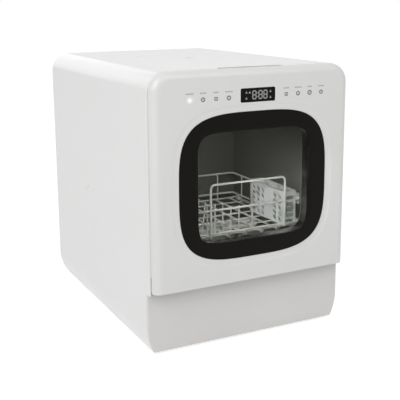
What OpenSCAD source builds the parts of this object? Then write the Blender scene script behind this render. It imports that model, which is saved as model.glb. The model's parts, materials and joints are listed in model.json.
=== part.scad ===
// Countertop dishwasher with a drop-down glass door, a wire rack and a built-in water tank.
// Millimetres. X runs to the right, Y to the rear, Z up. The origin is on the floor,
// under the middle of the footprint.

/* [Cabinet] */
// Width over the side walls
body_w = 340; // [336:1:360]
// Height from the floor to the top
body_h = 426; // [415:1:450]
// Depth from the window frame to the rear cover
body_d = 462; // [458:1:490]
// Radius of the two long top corners
corner_r = 32; // [28:1:38]
// How far the lower edges of the sides are drawn in
foot_inset = 10.5; // [8:0.5:12]
// Height over which the lower sides are drawn in
foot_rise = 40; // [34:1:50]
// Wall of the wrapped outer shell
shell_t = 2.5; // [2:0.1:3]
// Thickness of the rear cover
rear_t = 3; // [2.5:0.5:4]
// Height of the rubber feet
foot_h = 4; // [3:0.5:6]
// Radius of a rubber foot
foot_r = 12; // [9:1:14]
// Height of the kick panel's top edge
kick_top = 98; // [94:1:99]
// Distance from the door seam back to the kick panel
kick_back = 9; // [7:0.5:12]
// Width of the finger recess behind the top of the door
grip_w = 110; // [80:2:130]

/* [Door] */
// How far the door stands out from the cabinet
door_proud = 13; // [13:0.5:16]
// Depth of the door's inner half, inside the cabinet
door_nest = 12; // [11:0.5:14]
// Step from the cabinet's side to the door's side
door_inset = 3; // [2:0.5:4]
// Radius of the door's front edges
door_edge_r = 12; // [8:0.5:12]
// Height of the door's lower edge
door_z0 = 102; // [101:0.5:104]
// Wall of the door's outer panel
door_t = 2.5; // [2:0.1:3]
// Half width of the window frame
bezel_a = 126; // [122:1:130]
// Distance from the door's lower edge up to the window frame
door_foot = 38; // [34:1:42]
// Distance from the control strip's centre down to the window frame
strip_drop = 24; // [21:1:27]
// Width of the window frame at its sides
side_w = 31; // [29:1:35]
// Width of the window frame at its top and bottom
end_w = 28; // [26:1:32]
// Exponent of the window frame's outline, where 2 is an ellipse
window_n = 3.6; // [3:0.1:4.5]
// Exponent of the clear glass's outline, which has tighter corners
glass_n = 8; // [5:0.5:9]
// Thickness of each glass pane
pane_t = 3.2; // [2.5:0.1:3.5]
// Height of the hinge axis
hinge_z = 111; // [110:0.5:112]
// Radius of a hinge pin
hinge_pin_r = 2.5; // [2:0.1:3]
// Width of the display
display_w = 59; // [50:1:66]
// Height of the display
display_h = 21; // [16:1:24]
// Distance from the top of the cabinet down to the control strip's centre
control_drop = 40; // [37:1:42]
// Distance between neighbouring touch keys
key_pitch = 20.9; // [19:0.1:22]
// How far right of the door's middle the control strip sits
strip_x = 3.4; // [0:0.1:5]

/* [Wash chamber] */
// Half the inner width of the tub
tub_hw = 146; // [145:0.5:148]
// Inner depth of the tub
tub_d = 300; // [295:1:306]
// Height of the tub's floor
tub_z0 = 120; // [120:0.5:122]
// Space between the tub's ceiling and the top of the cabinet
head_room = 30; // [28:1:34]
// Wall of the tub
tub_t = 2; // [1.5:0.1:2.5]
// Radius of the tub's long corners
tub_r = 20; // [14:1:24]
// Length of a spray arm
arm_len = 216; // [180:2:220]
// Thickness of a spray arm
arm_t = 9; // [7:0.5:9.5]
// Radius of the heating element's ring
heater_r = 60; // [54:1:62]
// Radius of the sump
sump_r = 36; // [33:1:37]
// Radius of the filter cup
filter_r = 26; // [20:1:26]

/* [Rack] */
// Half the width of the dish rack
rack_hw = 133; // [131:0.5:133.5]
// Depth of the dish rack
rack_d = 235; // [225:1:240]
// Radius of the rack's frame wire
wire_r = 1.75; // [1.5:0.05:2]
// Radius of the rack's thin wires
thin_r = 1.2; // [1:0.05:1.4]
// Height of the rack's upper rim
rim_z = 196; // [190:1:202]
// Height of the rack's handle hoop
hoop_z = 238; // [225:1:245]
// Distance between neighbouring plate tines
tine_pitch = 24; // [20:1:30]
// Height of a plate tine
tine_h = 52; // [40:1:60]
// Height of the cutlery basket
basket_h = 56; // [48:1:58]
// Length of the cutlery basket
basket_len = 108; // [90:1:120]
// Radius of a rack roller
roller_r = 7; // [6:0.25:7.5]

/* [Water] */
// Half the width of the water tank
tank_hw = 108; // [100:1:110]
// Depth of the water tank
tank_d = 80; // [70:1:82]
// Space between the water tank and the top of the cabinet
tank_head = 52; // [49:1:64]
// Wall of the water tank
tank_t = 2.5; // [2:0.1:3]
// Half the width of the fill cover
fill_hw = 62; // [50:1:66]
// Depth of the fill cover
fill_d = 96; // [80:1:100]
// Outer radius of the water inlet's thread
inlet_r = 13.2; // [12:0.1:14]
// Outer radius of the drain spigot
drain_r = 8; // [7:0.25:9]
// Outer radius of the wash pipes
pipe_r = 7; // [6:0.25:7.5]
// Wall of the pipes and hoses
pipe_t = 1.5; // [1:0.1:2]

/* [Hidden] */

$fn = 48;
gap = 0.3;          // clearance between seated or facing pieces
fit = 0.05;         // radial clearance of a running fit
bezel_proud = 1;    // the window frame stands this far out of the door
seal_t = 2.5;
frame_t = 3;
kick_t = 3;
board_t = 1.6;

half_w = body_w / 2;
bend_z = foot_h + foot_rise;
tub_z1 = body_h - head_room;
control_z = body_h - control_drop;
bezel_z0 = door_z0 + door_foot;             // lowest point of the window frame
bezel_z1 = control_z - strip_drop;          // its highest point
window_z = (bezel_z0 + bezel_z1) / 2;
bezel_b = (bezel_z1 - bezel_z0) / 2;        // half height of the window frame
glass_a = bezel_a - side_w;                 // half width of the clear glass
glass_b = bezel_b - end_w;                  // half height of the clear glass
sweep_r = (pow(foot_rise, 2) + pow(foot_inset, 2)) / (2 * foot_inset);
front_y = -body_d / 2;
rear_y = body_d / 2;
door_y = front_y + bezel_proud;             // the door's front face
seam_y = door_y + door_proud;               // the cabinet's front edge
liner_y = seam_y + door_nest;               // the door's inner face
frame_y = liner_y + gap + seal_t;           // front of the tub's frame
tub_y0 = frame_y + frame_t;
tub_y1 = tub_y0 + tub_d;
tub_cy = (tub_y0 + tub_y1) / 2;             // the spray arms' axis
kick_y = seam_y + kick_back;
shell_in = shell_t + gap;                   // inset of what seats inside the shell
hinge_y = seam_y - 4;
back_in = rear_y - rear_t;                  // inner face of the rear cover
recess_d = 24;                              // depth of the port recess in the rear cover
recess_y = rear_y - recess_d;
recess_z0 = 34;
recess_z1 = 92;
rear_screw_z = [112, body_h - 60];
recess_hw = 140;
port_z = (recess_z0 + recess_z1) / 2;
inlet_x = -100;
drain_x = 100;

tray_t = 3;
base_z = foot_h + tray_t;                   // top of the base tray's floor
foot_x = half_w - foot_inset - 30;
foot_y0 = kick_y + 40;
foot_y1 = rear_y - 40;

sump_x = 72;
sump_y = tub_y0 + 69;
sump_z0 = 88;
well_r = 17;
well_z0 = 40;
pump_z = 54;
pump_r = 30;
pump_x0 = sump_x - well_r - 35;             // back of the wash pump's casing
pump_x1 = sump_x - well_r - 9;              // its front
motor_len = 64;
shaft_r = 3;
drain_y0 = sump_y + well_r + 9;
drain_y1 = drain_y0 + 22;
hose_x = half_w - 42;
manifold_z = 105;                           // height of the wash manifold under the tub
riser_x = tub_hw - 28;
riser_y = tub_y1 + tub_t + pipe_r + 4;
riser_z = tub_z1 + tub_t + pipe_r + 6;

arm_z = tub_z0 + 10;
top_arm_z = tub_z1 - 8 - arm_t;
hub_r = 9;
heater_z = tub_z0 + 5.5;
heater_wire = 3.2;

tank_y1 = back_in - 12;
tank_y0 = tank_y1 - tank_d;
tank_z0 = 112;
tank_z1 = body_h - tank_head;
stem_x = tank_hw - 30;
stem_y = (tank_y0 + tank_y1) / 2;
fill_y = seam_y + 255;                      // centre of the fill cover
funnel_z0 = body_h - shell_t - 19;
neck_r = 16;
neck_y = tank_y0 + 26;
fill_x_in = -62;

blower_x = -tub_hw + 34;
blower_y = tub_y1 - 66;
blower_z0 = tub_z1 + tub_t + gap;
blower_h = 20;

rack_y0 = seam_y + 65;
rack_y1 = rack_y0 + rack_d;
floor_z = 146 + wire_r;                     // height of the rack's lowest wires
low_rim_z = 157.5;
hoop_x0 = -37;
hoop_x1 = 100;
runner_x0 = rack_hw + 1;
runner_x1 = runner_x0 + 6.5;
runner_z = floor_z - 1;
roller_z = runner_z - gap - roller_r;
roller_w = runner_x1 - runner_x0;
stud_r = 2.5;
roller_y0 = rack_y0 + 24;
roller_y1 = roller_y0 + 66;
basket_x1 = rack_hw - wire_r - 2.5;
basket_x0 = basket_x1 - 25;
basket_y0 = rack_y0 + 8;
basket_z0 = floor_z + thin_r * 2 + wire_r - 0.5 + gap;
basket_t = 1.8;

nest_hw = half_w - shell_t - 3.5;           // half width of the door's inner half
nest_in = half_w - nest_hw;
boss_r = 6;
bracket_x = nest_hw - 18;                   // middle of a hinge bracket
bracket_t = 3;
bracket_foot_t = 2.2;                       // plate that is screwed to the front frame
bracket_screw_z = [84, 96];
screw_r = 1.5;
head_r = 3.2;
head_t = 1.2;
latch_z = tub_z1 + 15;
latch_x = grip_w / 2 + 32;
grip_z0 = body_h - 20;                      // floor of the finger recess
key_x0 = display_w / 2 + 19.3;              // the first touch key from the strip's middle
cup_x = 54;
cup_z = hinge_z + 24;
cup_hh = 8.8;                               // half the height of the detergent cup

// ---------------------------------------------------------------- shared shapes

function arc(cx, cy, r, a0, a1, n) =
    [for (i = [0:n]) let (a = a0 + (a1 - a0) * i / n) [cx + r * cos(a), cy + r * sin(a)]];

// half width of the cabinet at height z, drawn in by o
function side_x(o, z) = z >= bend_z ? half_w - o
    : half_w - sweep_r + sqrt(pow(sweep_r - o, 2) - pow(bend_z - z, 2));

// right half of the cabinet's outline above z0, drawn in by o
function right_pts(o, z0) = concat(
    z0 < bend_z ? [for (i = [0:8]) let (z = z0 + (bend_z - z0) * i / 8) [side_x(o, z), z]]
        : [[half_w - o, z0]],
    arc(half_w - corner_r, body_h - corner_r, corner_r - o, 0, 90, 12));

function mirrored(pts) = [for (i = [len(pts) - 1:-1:0]) [-pts[i][0], pts[i][1]]];

function body_pts(o, z0) = concat(right_pts(o, z0), mirrored(right_pts(o, z0)));

function sgn_pow(v, e) = sign(v) * pow(abs(v), e);

// closed outline between a rectangle and an ellipse, a wide and b high on each side
function squircle(a, b, n) = [for (i = [0:71]) let (t = i * 5)
    [a * sgn_pow(cos(t), 2 / n), window_z + b * sgn_pow(sin(t), 2 / n)]];

// turns a shape drawn in X and Z into a plate from y0 to y1
module along_y(y0, y1) translate([0, y1, 0]) rotate([90, 0, 0]) linear_extrude(y1 - y0) children();

module body_plate(o, z0, y0, y1) along_y(y0, y1) polygon(body_pts(o, z0));

// plate with the window frame's outline, let out by o
module frame_plate(o, y0, y1) along_y(y0, y1) polygon(squircle(bezel_a + o, bezel_b + o, window_n));

// plate with the clear glass's outline, let out by o
module glass_plate(o, y0, y1) along_y(y0, y1) polygon(squircle(glass_a + o, glass_b + o, glass_n));

module box(x0, x1, y0, y1, z0, z1)
    translate([x0, y0, z0]) cube([x1 - x0, y1 - y0, z1 - z0]);

// rectangle with round corners, drawn in X and Z
function round_rect(x0, x1, z0, z1, r) = concat(
    arc(x1 - r, z0 + r, r, -90, 0, 6), arc(x1 - r, z1 - r, r, 0, 90, 6),
    arc(x0 + r, z1 - r, r, 90, 180, 6), arc(x0 + r, z0 + r, r, 180, 270, 6));

module tub_plate(o, y0, y1)
    along_y(y0, y1) polygon(round_rect(-tub_hw - o, tub_hw + o, tub_z0 - o, tub_z1 + o, tub_r + o));

module slab(x0, x1, y0, y1, r, z0, z1)
    translate([0, 0, z0]) linear_extrude(z1 - z0) polygon(round_rect(x0, x1, y0, y1, r));

module rod_x(x0, x1, y, z, r) translate([x0, y, z]) rotate([0, 90, 0]) cylinder(h = x1 - x0, r = r);
module rod_y(x, y0, y1, z, r) translate([x, y1, z]) rotate([90, 0, 0]) cylinder(h = y1 - y0, r = r);
module rod_z(x, y, z0, z1, r) translate([x, y, z0]) cylinder(h = z1 - z0, r = r);

// round bar between two points
module bar(p, q, r) {
    d = q - p;
    translate(p) rotate([0, acos(d[2] / norm(d)), atan2(d[1], d[0])]) cylinder(h = norm(d), r = r);
}

// round bar through a list of points, with ball joints at the bends
module route(pts, r) {
    for (i = [0:len(pts) - 2]) bar(pts[i], pts[i + 1], r);
    if (len(pts) > 2) for (i = [1:len(pts) - 2])
        translate(pts[i]) rotate([40, 25, 10]) sphere(r = r * 1.15, $fn = 24);
}

// hose through the same points, open at both ends
module hose(pts, r) {
    n = len(pts) - 1;
    difference() {
        route(pts, r);
        route(concat([pts[0] + (pts[0] - pts[1]) / norm(pts[0] - pts[1])], [for (i = [1:n - 1]) pts[i]],
            [pts[n] + (pts[n] - pts[n - 1]) / norm(pts[n] - pts[n - 1])]), r - pipe_t);
    }
}

module both_sides() {
    children();
    mirror([1, 0, 0]) children();
}

// ---------------------------------------------------------------- cabinet

module outer_shell() {
    color("whitesmoke") difference() {
        body_plate(0, foot_h, seam_y, back_in);
        body_plate(shell_t, foot_h - 1, seam_y - 1, back_in + 1);
        // the kick panel stands in front of this step
        box(-half_w - 1, half_w + 1, seam_y - 1, kick_y + kick_t, foot_h - 1, kick_top + gap);
        // finger recess at the seam
        slab(-grip_w / 2, grip_w / 2, seam_y - 10, seam_y + 10, 6, body_h - shell_t - 1, body_h + 1);
        slab(-fill_hw - gap, fill_hw + gap, fill_y - fill_d / 2 - gap, fill_y + fill_d / 2 + gap, 20,
            body_h - shell_t - 1, body_h + 1);
    }
    // blocks that take the rear cover's screws
    color("whitesmoke") both_sides() for (z = rear_screw_z) difference() {
        box(half_w - 20, half_w - shell_t + 0.1, back_in - 24, back_in - 6 - gap, z - 5, z + 5);
        rod_y(half_w - 14, back_in - 20, back_in, z, screw_r + fit);
    }
}

module rear_cover() {
    lip = 6;
    color("whitesmoke") difference() {
        union() {
            difference() {
                body_plate(0, foot_h, back_in, rear_y);
                box(-recess_hw, recess_hw, back_in - 1, rear_y + 1, recess_z0, recess_z1);
            }
            // locating lip inside the shell
            difference() {
                body_plate(shell_in, foot_h + 26, back_in - lip, back_in);
                body_plate(shell_in + 2, foot_h + 25, back_in - lip - 1, back_in + 1);
                box(-half_w, half_w, back_in - lip - 1, back_in, 0, recess_z1 + 6);
            }
            // pocket round the ports
            difference() {
                box(-recess_hw - 2, recess_hw + 2, recess_y - 2, back_in, recess_z0 - 2, recess_z1 + 2);
                box(-recess_hw, recess_hw, recess_y, rear_y + 1, recess_z0, recess_z1);
            }
        }
        rod_y(inlet_x, recess_y - 3, recess_y + 1, port_z, inlet_r + gap);
        rod_y(drain_x, recess_y - 3, recess_y + 1, port_z, drain_r + gap);
        rod_y(0, recess_y - 3, recess_y + 1, port_z, 9 + gap);
        // warm air outlet
        for (i = [0:6])
            box(blower_x - 18 + i * 8, blower_x - 14 + i * 8, back_in - 1, rear_y + 1,
                tub_z1 + 3, tub_z1 + 18);
        // motor vents
        for (i = [0:9], j = [0:1])
            box(-62 + i * 13, -56 + i * 13, back_in - 1, rear_y + 1, 112 + j * 30, 134 + j * 30);
        both_sides() for (z = rear_screw_z) {
            rod_y(half_w - 14, back_in - 1, rear_y + 1, z, screw_r + gap);
            rod_y(half_w - 14, rear_y - head_t, rear_y + 1, z, head_r + gap);
        }
    }
}

module base_tray() {
    wall = 2.5;
    y0 = kick_y + kick_t + gap;
    y1 = recess_y - 2 - gap;
    h = 22;
    color("gainsboro") difference() {
        union() {
            for (part = [[foot_h, base_z], [base_z, foot_h + h]])
                along_y(y0, y1) polygon([[-side_x(shell_in, part[0]), part[0]],
                    [side_x(shell_in, part[0]), part[0]],
                    [side_x(shell_in, part[1]), part[1]], [-side_x(shell_in, part[1]), part[1]]]);
            // rear tongue under the port pocket
            box(-foot_x - 14, foot_x + 14, y1 - 1, back_in - gap, foot_h, base_z);
        }
        along_y(y0 + wall, y1 - wall) polygon([
            [-side_x(shell_in + wall, base_z), base_z], [side_x(shell_in + wall, base_z), base_z],
            [side_x(shell_in + wall, foot_h + h + 1), foot_h + h + 1],
            [-side_x(shell_in + wall, foot_h + h + 1), foot_h + h + 1]]);
        both_sides() for (y = [foot_y0, foot_y1]) rod_z(foot_x, y, foot_h - 1, base_z + 1, 3 + gap);
    }
    color("gainsboro") {
        // cradles under the two pump motors and stands under the boards
        difference() {
            box(pump_x0 - 50, pump_x0 - 10, sump_y - 20, sump_y + 20, base_z, pump_z - 12);
            rod_x(pump_x0 - 60, pump_x0, sump_y, pump_z, 26 + gap);
        }
        difference() {
            box(sump_x - 14, sump_x + 14, drain_y1 + 8, drain_y1 + 28, base_z, pump_z - 8);
            rod_y(sump_x, drain_y1 + 5, drain_y1 + 40, pump_z, 17 + gap);
        }
        for (x = [-128, -72], y = [24, 96]) rod_z(x, y, base_z, base_z + 14, 3.5);
        // guide of the leak float
        difference() {
            rod_z(0, 70, base_z, base_z + 22, 14);
            rod_z(0, 70, base_z + gap, base_z + 23, 11.5);
        }
        // posts that carry the sump
        for (a = [0, 135, 225, 300])
            rod_z(sump_x + (well_r + 14) * cos(a), sump_y + (well_r + 14) * sin(a),
                base_z, sump_z0 - 2.5 - gap, 3.5);
    }
}

module kick_panel() {
    color("whitesmoke") {
        difference() {
            body_plate(0, foot_h + 0.5, kick_y, kick_y + kick_t);
            box(-half_w, half_w, kick_y - 1, kick_y + kick_t + 1, kick_top, body_h + 1);
            // pockets over the heads of the brackets' screws
            both_sides() for (z = bracket_screw_z) rod_y(bracket_x - 9,
                frame_y - bracket_foot_t - head_t - gap, kick_y + kick_t + 1, z, head_r + gap);
        }
        // stand-offs that rest on the front frame
        both_sides() rod_y(60, kick_y + kick_t, frame_y - gap, 90, 5);
    }
}

module front_frame() {
    color("white") difference() {
        body_plate(shell_in, 78, frame_y, frame_y + frame_t);
        tub_plate(0, frame_y - 1, frame_y + frame_t + 1);
        // slot for the latch tongue
        box(latch_x - 9, latch_x + 9, frame_y - 1, frame_y + frame_t + 1, latch_z - 5, latch_z + 5);
        rod_y(latch_x + 30, frame_y - 1, frame_y + frame_t + 1, latch_z, 3 + gap);
        both_sides() for (z = bracket_screw_z)
            rod_y(bracket_x - 9, frame_y - 1, frame_y + frame_t + 1, z, screw_r + gap);
    }
}

module rubber_feet() {
    color("dimgray") both_sides() for (y = [foot_y0, foot_y1]) {
        rod_z(foot_x, y, 0, foot_h, foot_r);
        rod_z(foot_x, y, foot_h, base_z + 2, 3);
    }
}

// ---------------------------------------------------------------- wash chamber

module tub() {
    color("silver") difference() {
        tub_plate(tub_t, tub_y0, tub_y1 + tub_t);
        tub_plate(0, tub_y0 - 1, tub_y1);
        // openings for the sump, spray hubs, heater, filling nozzle, air and roller studs
        rod_z(sump_x, sump_y, tub_z0 - tub_t - 1, tub_z0 + 1, sump_r);
        rod_z(0, tub_cy, tub_z0 - tub_t - 1, tub_z0 + 1, hub_r + gap);
        rod_z(0, tub_cy, tub_z1 - 1, tub_z1 + tub_t + 1, hub_r + gap);
        for (x = [-10, 10]) rod_z(x, tub_cy + heater_r, tub_z0 - tub_t - 1, tub_z0 + 1, heater_wire + gap);
        rod_z(fill_x_in, tub_cy + 39, tub_z0 - tub_t - 1, tub_z0 + 1, pipe_r + gap);
        rod_z(blower_x, blower_y, tub_z1 - 1, tub_z1 + tub_t + 1, 12);
        for (y = [roller_y0, roller_y1]) both_sides()
            rod_x(tub_hw - 1, tub_hw + tub_t + 1, y, roller_z, stud_r + gap);
    }
}

module tub_seal() {
    color("darkgray") difference() {
        tub_plate(9, frame_y - seal_t, frame_y);
        tub_plate(2, frame_y - seal_t - 1, frame_y + 1);
    }
}

module sump() {
    wall = 2.5;
    color("darkgray") difference() {
        union() {
            rod_z(sump_x, sump_y, sump_z0 - wall, tub_z0 - tub_t, sump_r + wall);
            rod_z(sump_x, sump_y, tub_z0 - tub_t - 3, tub_z0 - tub_t, sump_r + 10);
            rod_z(sump_x, sump_y, well_z0, sump_z0, well_r);
            rod_x(pump_x1 + 2, sump_x, sump_y, pump_z, 10.5);
            rod_y(sump_x, sump_y, drain_y0 - 2, pump_z, 10.5);
        }
        rod_z(sump_x, sump_y, sump_z0, tub_z0, sump_r);
        rod_z(sump_x, sump_y, well_z0 + wall, sump_z0 + 1, well_r - wall);
        rod_x(pump_x1, sump_x, sump_y, pump_z, 8);
        rod_y(sump_x, sump_y, drain_y0, pump_z, 8);
    }
}

module strainer_plate() {
    color("silver") difference() {
        union() {
            rod_z(sump_x, sump_y, tub_z0 - 2.5, tub_z0 - 1, sump_r - gap);
            // skirt that stands on the sump's floor
            difference() {
                rod_z(sump_x, sump_y, sump_z0 + gap, tub_z0 - 2, sump_r - gap);
                rod_z(sump_x, sump_y, sump_z0 - 1, tub_z0 - 1, sump_r - gap - 1.5);
                for (a = [0:45:315]) translate([sump_x, sump_y, sump_z0 + 4]) rotate([0, 0, a])
                    translate([sump_r - 6, -5, 0]) cube([10, 10, 16]);
            }
        }
        rod_z(sump_x, sump_y, tub_z0 - 4, tub_z0, filter_r + gap);
        for (a = [0:22.5:337.5]) rod_z(sump_x + (filter_r + sump_r) / 2 * cos(a),
            sump_y + (filter_r + sump_r) / 2 * sin(a), tub_z0 - 4, tub_z0, 1.6);
    }
}

module filter_cup() {
    wall = 1.5;
    color("dimgray") {
        difference() {
            union() {
                rod_z(sump_x, sump_y, sump_z0 + 4, tub_z0 - 1 + gap, filter_r);
                rod_z(sump_x, sump_y, tub_z0 - 1 + gap, tub_z0 + 1, filter_r + 4);
            }
            rod_z(sump_x, sump_y, sump_z0 + 4 + wall, tub_z0 + 2, filter_r - wall);
            for (a = [0:30:330], z = [sump_z0 + 9, sump_z0 + 19])
                translate([sump_x, sump_y, z]) rotate([0, 0, a])
                    translate([filter_r - 4, -2.5, 0]) cube([6, 5, 7]);
        }
        // cross bar to turn it by
        box(sump_x - filter_r + 1, sump_x + filter_r - 1, sump_y - 2, sump_y + 2, tub_z0 - 4, tub_z0 + 5);
    }
}

module spray_arm(z) {
    w = 22;
    color("gainsboro") difference() {
        union() {
            translate([0, tub_cy, z]) linear_extrude(arm_t) polygon(concat(
                arc(arm_len / 2 - w / 2, 0, w / 2, -90, 90, 12),
                arc(-arm_len / 2 + w / 2, 0, w / 2, 90, 270, 12)));
            rod_z(0, tub_cy, z, z + arm_t, 20);
        }
        rod_z(0, tub_cy, z - 1, z + arm_t + 1, hub_r - 2 + fit);
        // water channel and jets
        translate([0, tub_cy, z + 2]) linear_extrude(arm_t - 4) polygon(round_rect(
            -arm_len / 2 + 4, arm_len / 2 - 4, -w / 2 + 3, w / 2 - 3, 6));
        for (s = [-1, 1], i = [1:5])
            rod_z(s * (20 + i * (arm_len / 2 - 34) / 5), tub_cy + s * 3,
                z > tub_z0 + 100 ? z - 1 : z + arm_t - 3, z > tub_z0 + 100 ? z + 3 : z + arm_t + 1, 1.2);
    }
}

module spray_arm_lower() { spray_arm(arm_z); }

module spray_arm_upper() { spray_arm(top_arm_z); }

// hollow post that an arm turns on: s is 1 on the floor and -1 under the ceiling
module spray_hub(wall_z, s) {
    near = s > 0 ? arm_z : top_arm_z + arm_t;
    far = s > 0 ? arm_z + arm_t : top_arm_z;
    color("gray") translate([0, tub_cy, 0]) difference() {
        union() {
            for (part = [[wall_z - s * (tub_t + 4), wall_z, hub_r], [wall_z, wall_z + s * 3, hub_r + 7],
                    [wall_z + s * 3, near - s * gap, hub_r], [near - s * gap, far + s * gap, hub_r - 2],
                    [far + s * gap, far + s * (gap + 3), hub_r + 2]])
                translate([0, 0, min(part[0], part[1])])
                    cylinder(h = abs(part[1] - part[0]), r = part[2]);
        }
        translate([0, 0, min(wall_z - s * 8, far - s * 2)])
            cylinder(h = abs(far - s * 2 - (wall_z - s * 8)), r = hub_r - 4);
        for (a = [0, 90]) rotate([0, 0, a]) rod_x(-hub_r - 1, hub_r + 1, 0, (near + far) / 2, 2);
    }
}

module spray_hub_lower() { spray_hub(tub_z0, 1); }

module spray_hub_upper() { spray_hub(tub_z1, -1); }

module riser_pipe() {
    start = [pump_x0 + 8, sump_y + 21, pump_z + 32 + gap];
    top_end = tub_z1 + tub_t + 4 + gap;
    low_end = tub_z0 - tub_t - 4 - gap;
    pts = [start, [start[0], start[1], manifold_z], [start[0], tub_cy, manifold_z], [0, tub_cy, manifold_z],
        [0, riser_y, manifold_z], [riser_x, riser_y, manifold_z], [riser_x, riser_y, riser_z],
        [riser_x, tub_cy, riser_z], [0, tub_cy, riser_z], [0, tub_cy, top_end]];
    s = pipe_r + 0.5;                       // half size of an elbow block
    bore = pipe_r - pipe_t;
    color("gray") difference() {
        union() {
            for (i = [0:len(pts) - 2]) bar(pts[i], pts[i + 1], pipe_r);
            for (i = [1:len(pts) - 2]) translate(pts[i] - [s, s, s]) cube(2 * s);
            bar([0, tub_cy, manifold_z], [0, tub_cy, low_end], pipe_r);
        }
        for (i = [0:len(pts) - 2]) let (d = (pts[i + 1] - pts[i]) / norm(pts[i + 1] - pts[i]) * (bore - 1))
            bar(pts[i] - d, pts[i + 1] + d, bore);
        bar([0, tub_cy, manifold_z], [0, tub_cy, low_end + 1], bore);
    }
}

module heating_element() {
    color("dimgray") {
        translate([0, tub_cy, heater_z]) rotate_extrude() translate([heater_r, 0]) circle(r = heater_wire);
        for (x = [-10, 10]) rod_z(x, tub_cy + heater_r, tub_z0 - 14, heater_z, heater_wire);
    }
    // clips that carry the ring
    color("silver") for (a = [30, 150, 270])
        rod_z(heater_r * cos(a), tub_cy + heater_r * sin(a), tub_z0, heater_z, 2);
}

// ---------------------------------------------------------------- pumps and water

module wash_pump_casing() {
    color("gray") difference() {
        union() {
            rod_x(pump_x0, pump_x1, sump_y, pump_z, pump_r);
            rod_x(pump_x1, pump_x1 + 2 - gap, sump_y, pump_z, 10.5);
            rod_z(pump_x0 + 8, sump_y + 21, pump_z, pump_z + 32, pipe_r);
        }
        rod_x(pump_x0 + 2.5, pump_x1 - 2.5, sump_y, pump_z, pump_r - 2.5);
        rod_x(pump_x1 - 5, pump_x1 + 5, sump_y, pump_z, 8);
        rod_x(pump_x0 - 1, pump_x0 + 3, sump_y, pump_z, shaft_r + 1);
        rod_z(pump_x0 + 8, sump_y + 21, pump_z + 10, pump_z + 33, pipe_r - pipe_t);
    }
}

module wash_pump_motor() {
    color("darkslategray") difference() {
        union() {
            rod_x(pump_x0 - motor_len, pump_x0 - 4, sump_y, pump_z, 26);
            rod_x(pump_x0 - 4, pump_x0, sump_y, pump_z, 18);
        }
        rod_x(pump_x0 - motor_len + 8, pump_x0 + 1, sump_y, pump_z, shaft_r + fit);
    }
}

module wash_impeller() {
    x0 = pump_x0 + 6;
    color("goldenrod") {
        rod_x(pump_x0 - motor_len + 9, x0 + 1, sump_y, pump_z, shaft_r);
        rod_x(x0, x0 + 2.5, sump_y, pump_z, pump_r - 6);
        rod_x(x0, x0 + 10, sump_y, pump_z, 5);
        for (a = [0:60:300]) translate([x0, sump_y, pump_z]) rotate([a, 0, 0])
            translate([2, 4, -1]) cube([7, pump_r - 11, 2]);
    }
}

module drain_pump_body() {
    color("darkslategray") difference() {
        union() {
            rod_y(sump_x, drain_y0, drain_y1, pump_z, 20);
            rod_y(sump_x, drain_y0 - 2 + gap, drain_y0, pump_z, 10.5);
            rod_y(sump_x, drain_y1, drain_y1 + 36, pump_z, 17);
            rod_x(sump_x, sump_x + 24, (drain_y0 + drain_y1) / 2, pump_z, pipe_r);
        }
        rod_y(sump_x, drain_y0 + 2.5, drain_y1 - 2.5, pump_z, 17.5);
        rod_y(sump_x, drain_y0 - 3, drain_y0 + 3, pump_z, 8);
        rod_y(sump_x, drain_y1 - 3, drain_y1 + 28, pump_z, 2.5 + fit);
        rod_x(sump_x + 15, sump_x + 25, (drain_y0 + drain_y1) / 2, pump_z, pipe_r - pipe_t);
    }
}

module drain_impeller() {
    y0 = drain_y0 + 6;
    color("goldenrod") {
        rod_y(sump_x, y0 + 1, drain_y1 + 27, pump_z, 2.5);
        rod_y(sump_x, y0, y0 + 10, pump_z, 4.5);
        for (a = [0:90:270]) translate([sump_x, y0, pump_z]) rotate([0, a, 0])
            translate([3.5, 0, -1]) cube([11, 10, 2]);
    }
}

module drain_hose() {
    y = (drain_y0 + drain_y1) / 2;
    color("darkgray") hose([[sump_x + 24 + gap, y, pump_z], [hose_x, y, pump_z],
        [hose_x, recess_y - 24, port_z], [drain_x, recess_y - 24, port_z],
        [drain_x, recess_y - 8 - gap, port_z]], pipe_r);
}

module water_tank() {
    color("lightblue") difference() {
        union() {
            slab(-tank_hw, tank_hw, tank_y0, tank_y1, 10, tank_z0, tank_z1);
            rod_z(0, neck_y, tank_z1, funnel_z0 - 4, neck_r + 2);
            rod_z(fill_x_in, stem_y, tank_z0 - 8, tank_z0, pipe_r);
        }
        slab(-tank_hw + tank_t, tank_hw - tank_t, tank_y0 + tank_t, tank_y1 - tank_t, 8,
            tank_z0 + tank_t, tank_z1 - tank_t);
        rod_z(0, neck_y, tank_z1 - tank_t - 1, funnel_z0, neck_r);
        rod_z(fill_x_in, stem_y, tank_z0 - 9, tank_z0 + tank_t + 1, pipe_r - pipe_t);
    }
    // side ears that rest on the tub
    color("lightblue") both_sides()
        box(tank_hw - 20, tank_hw - 6, tub_y1 + tub_t + gap, tank_y0 + 1, tank_z1 - 44, tank_z1 - 28);
}

module tank_hose() {
    color("darkgray") hose([[fill_x_in, stem_y, tank_z0 - 8 - gap], [fill_x_in, stem_y, 84],
        [fill_x_in, tub_cy + 39, 84], [fill_x_in, tub_cy + 39, tub_z0 + 3]], pipe_r - 0.5);
}

module float_stem() {
    color("gray") {
        rod_z(stem_x, stem_y, tank_z0 + tank_t, tank_z1 - tank_t - gap, 4);
        rod_z(stem_x, stem_y, tank_z0 + tank_t, tank_z0 + tank_t + 4, 9);
    }
}

module tank_float() {
    color("orange") difference() {
        rod_z(stem_x, stem_y, tank_z0 + tank_t + 4 + gap, tank_z0 + tank_t + 24, 14);
        rod_z(stem_x, stem_y, tank_z0, tank_z0 + 40, 4 + 2 * fit);
    }
}

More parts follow.
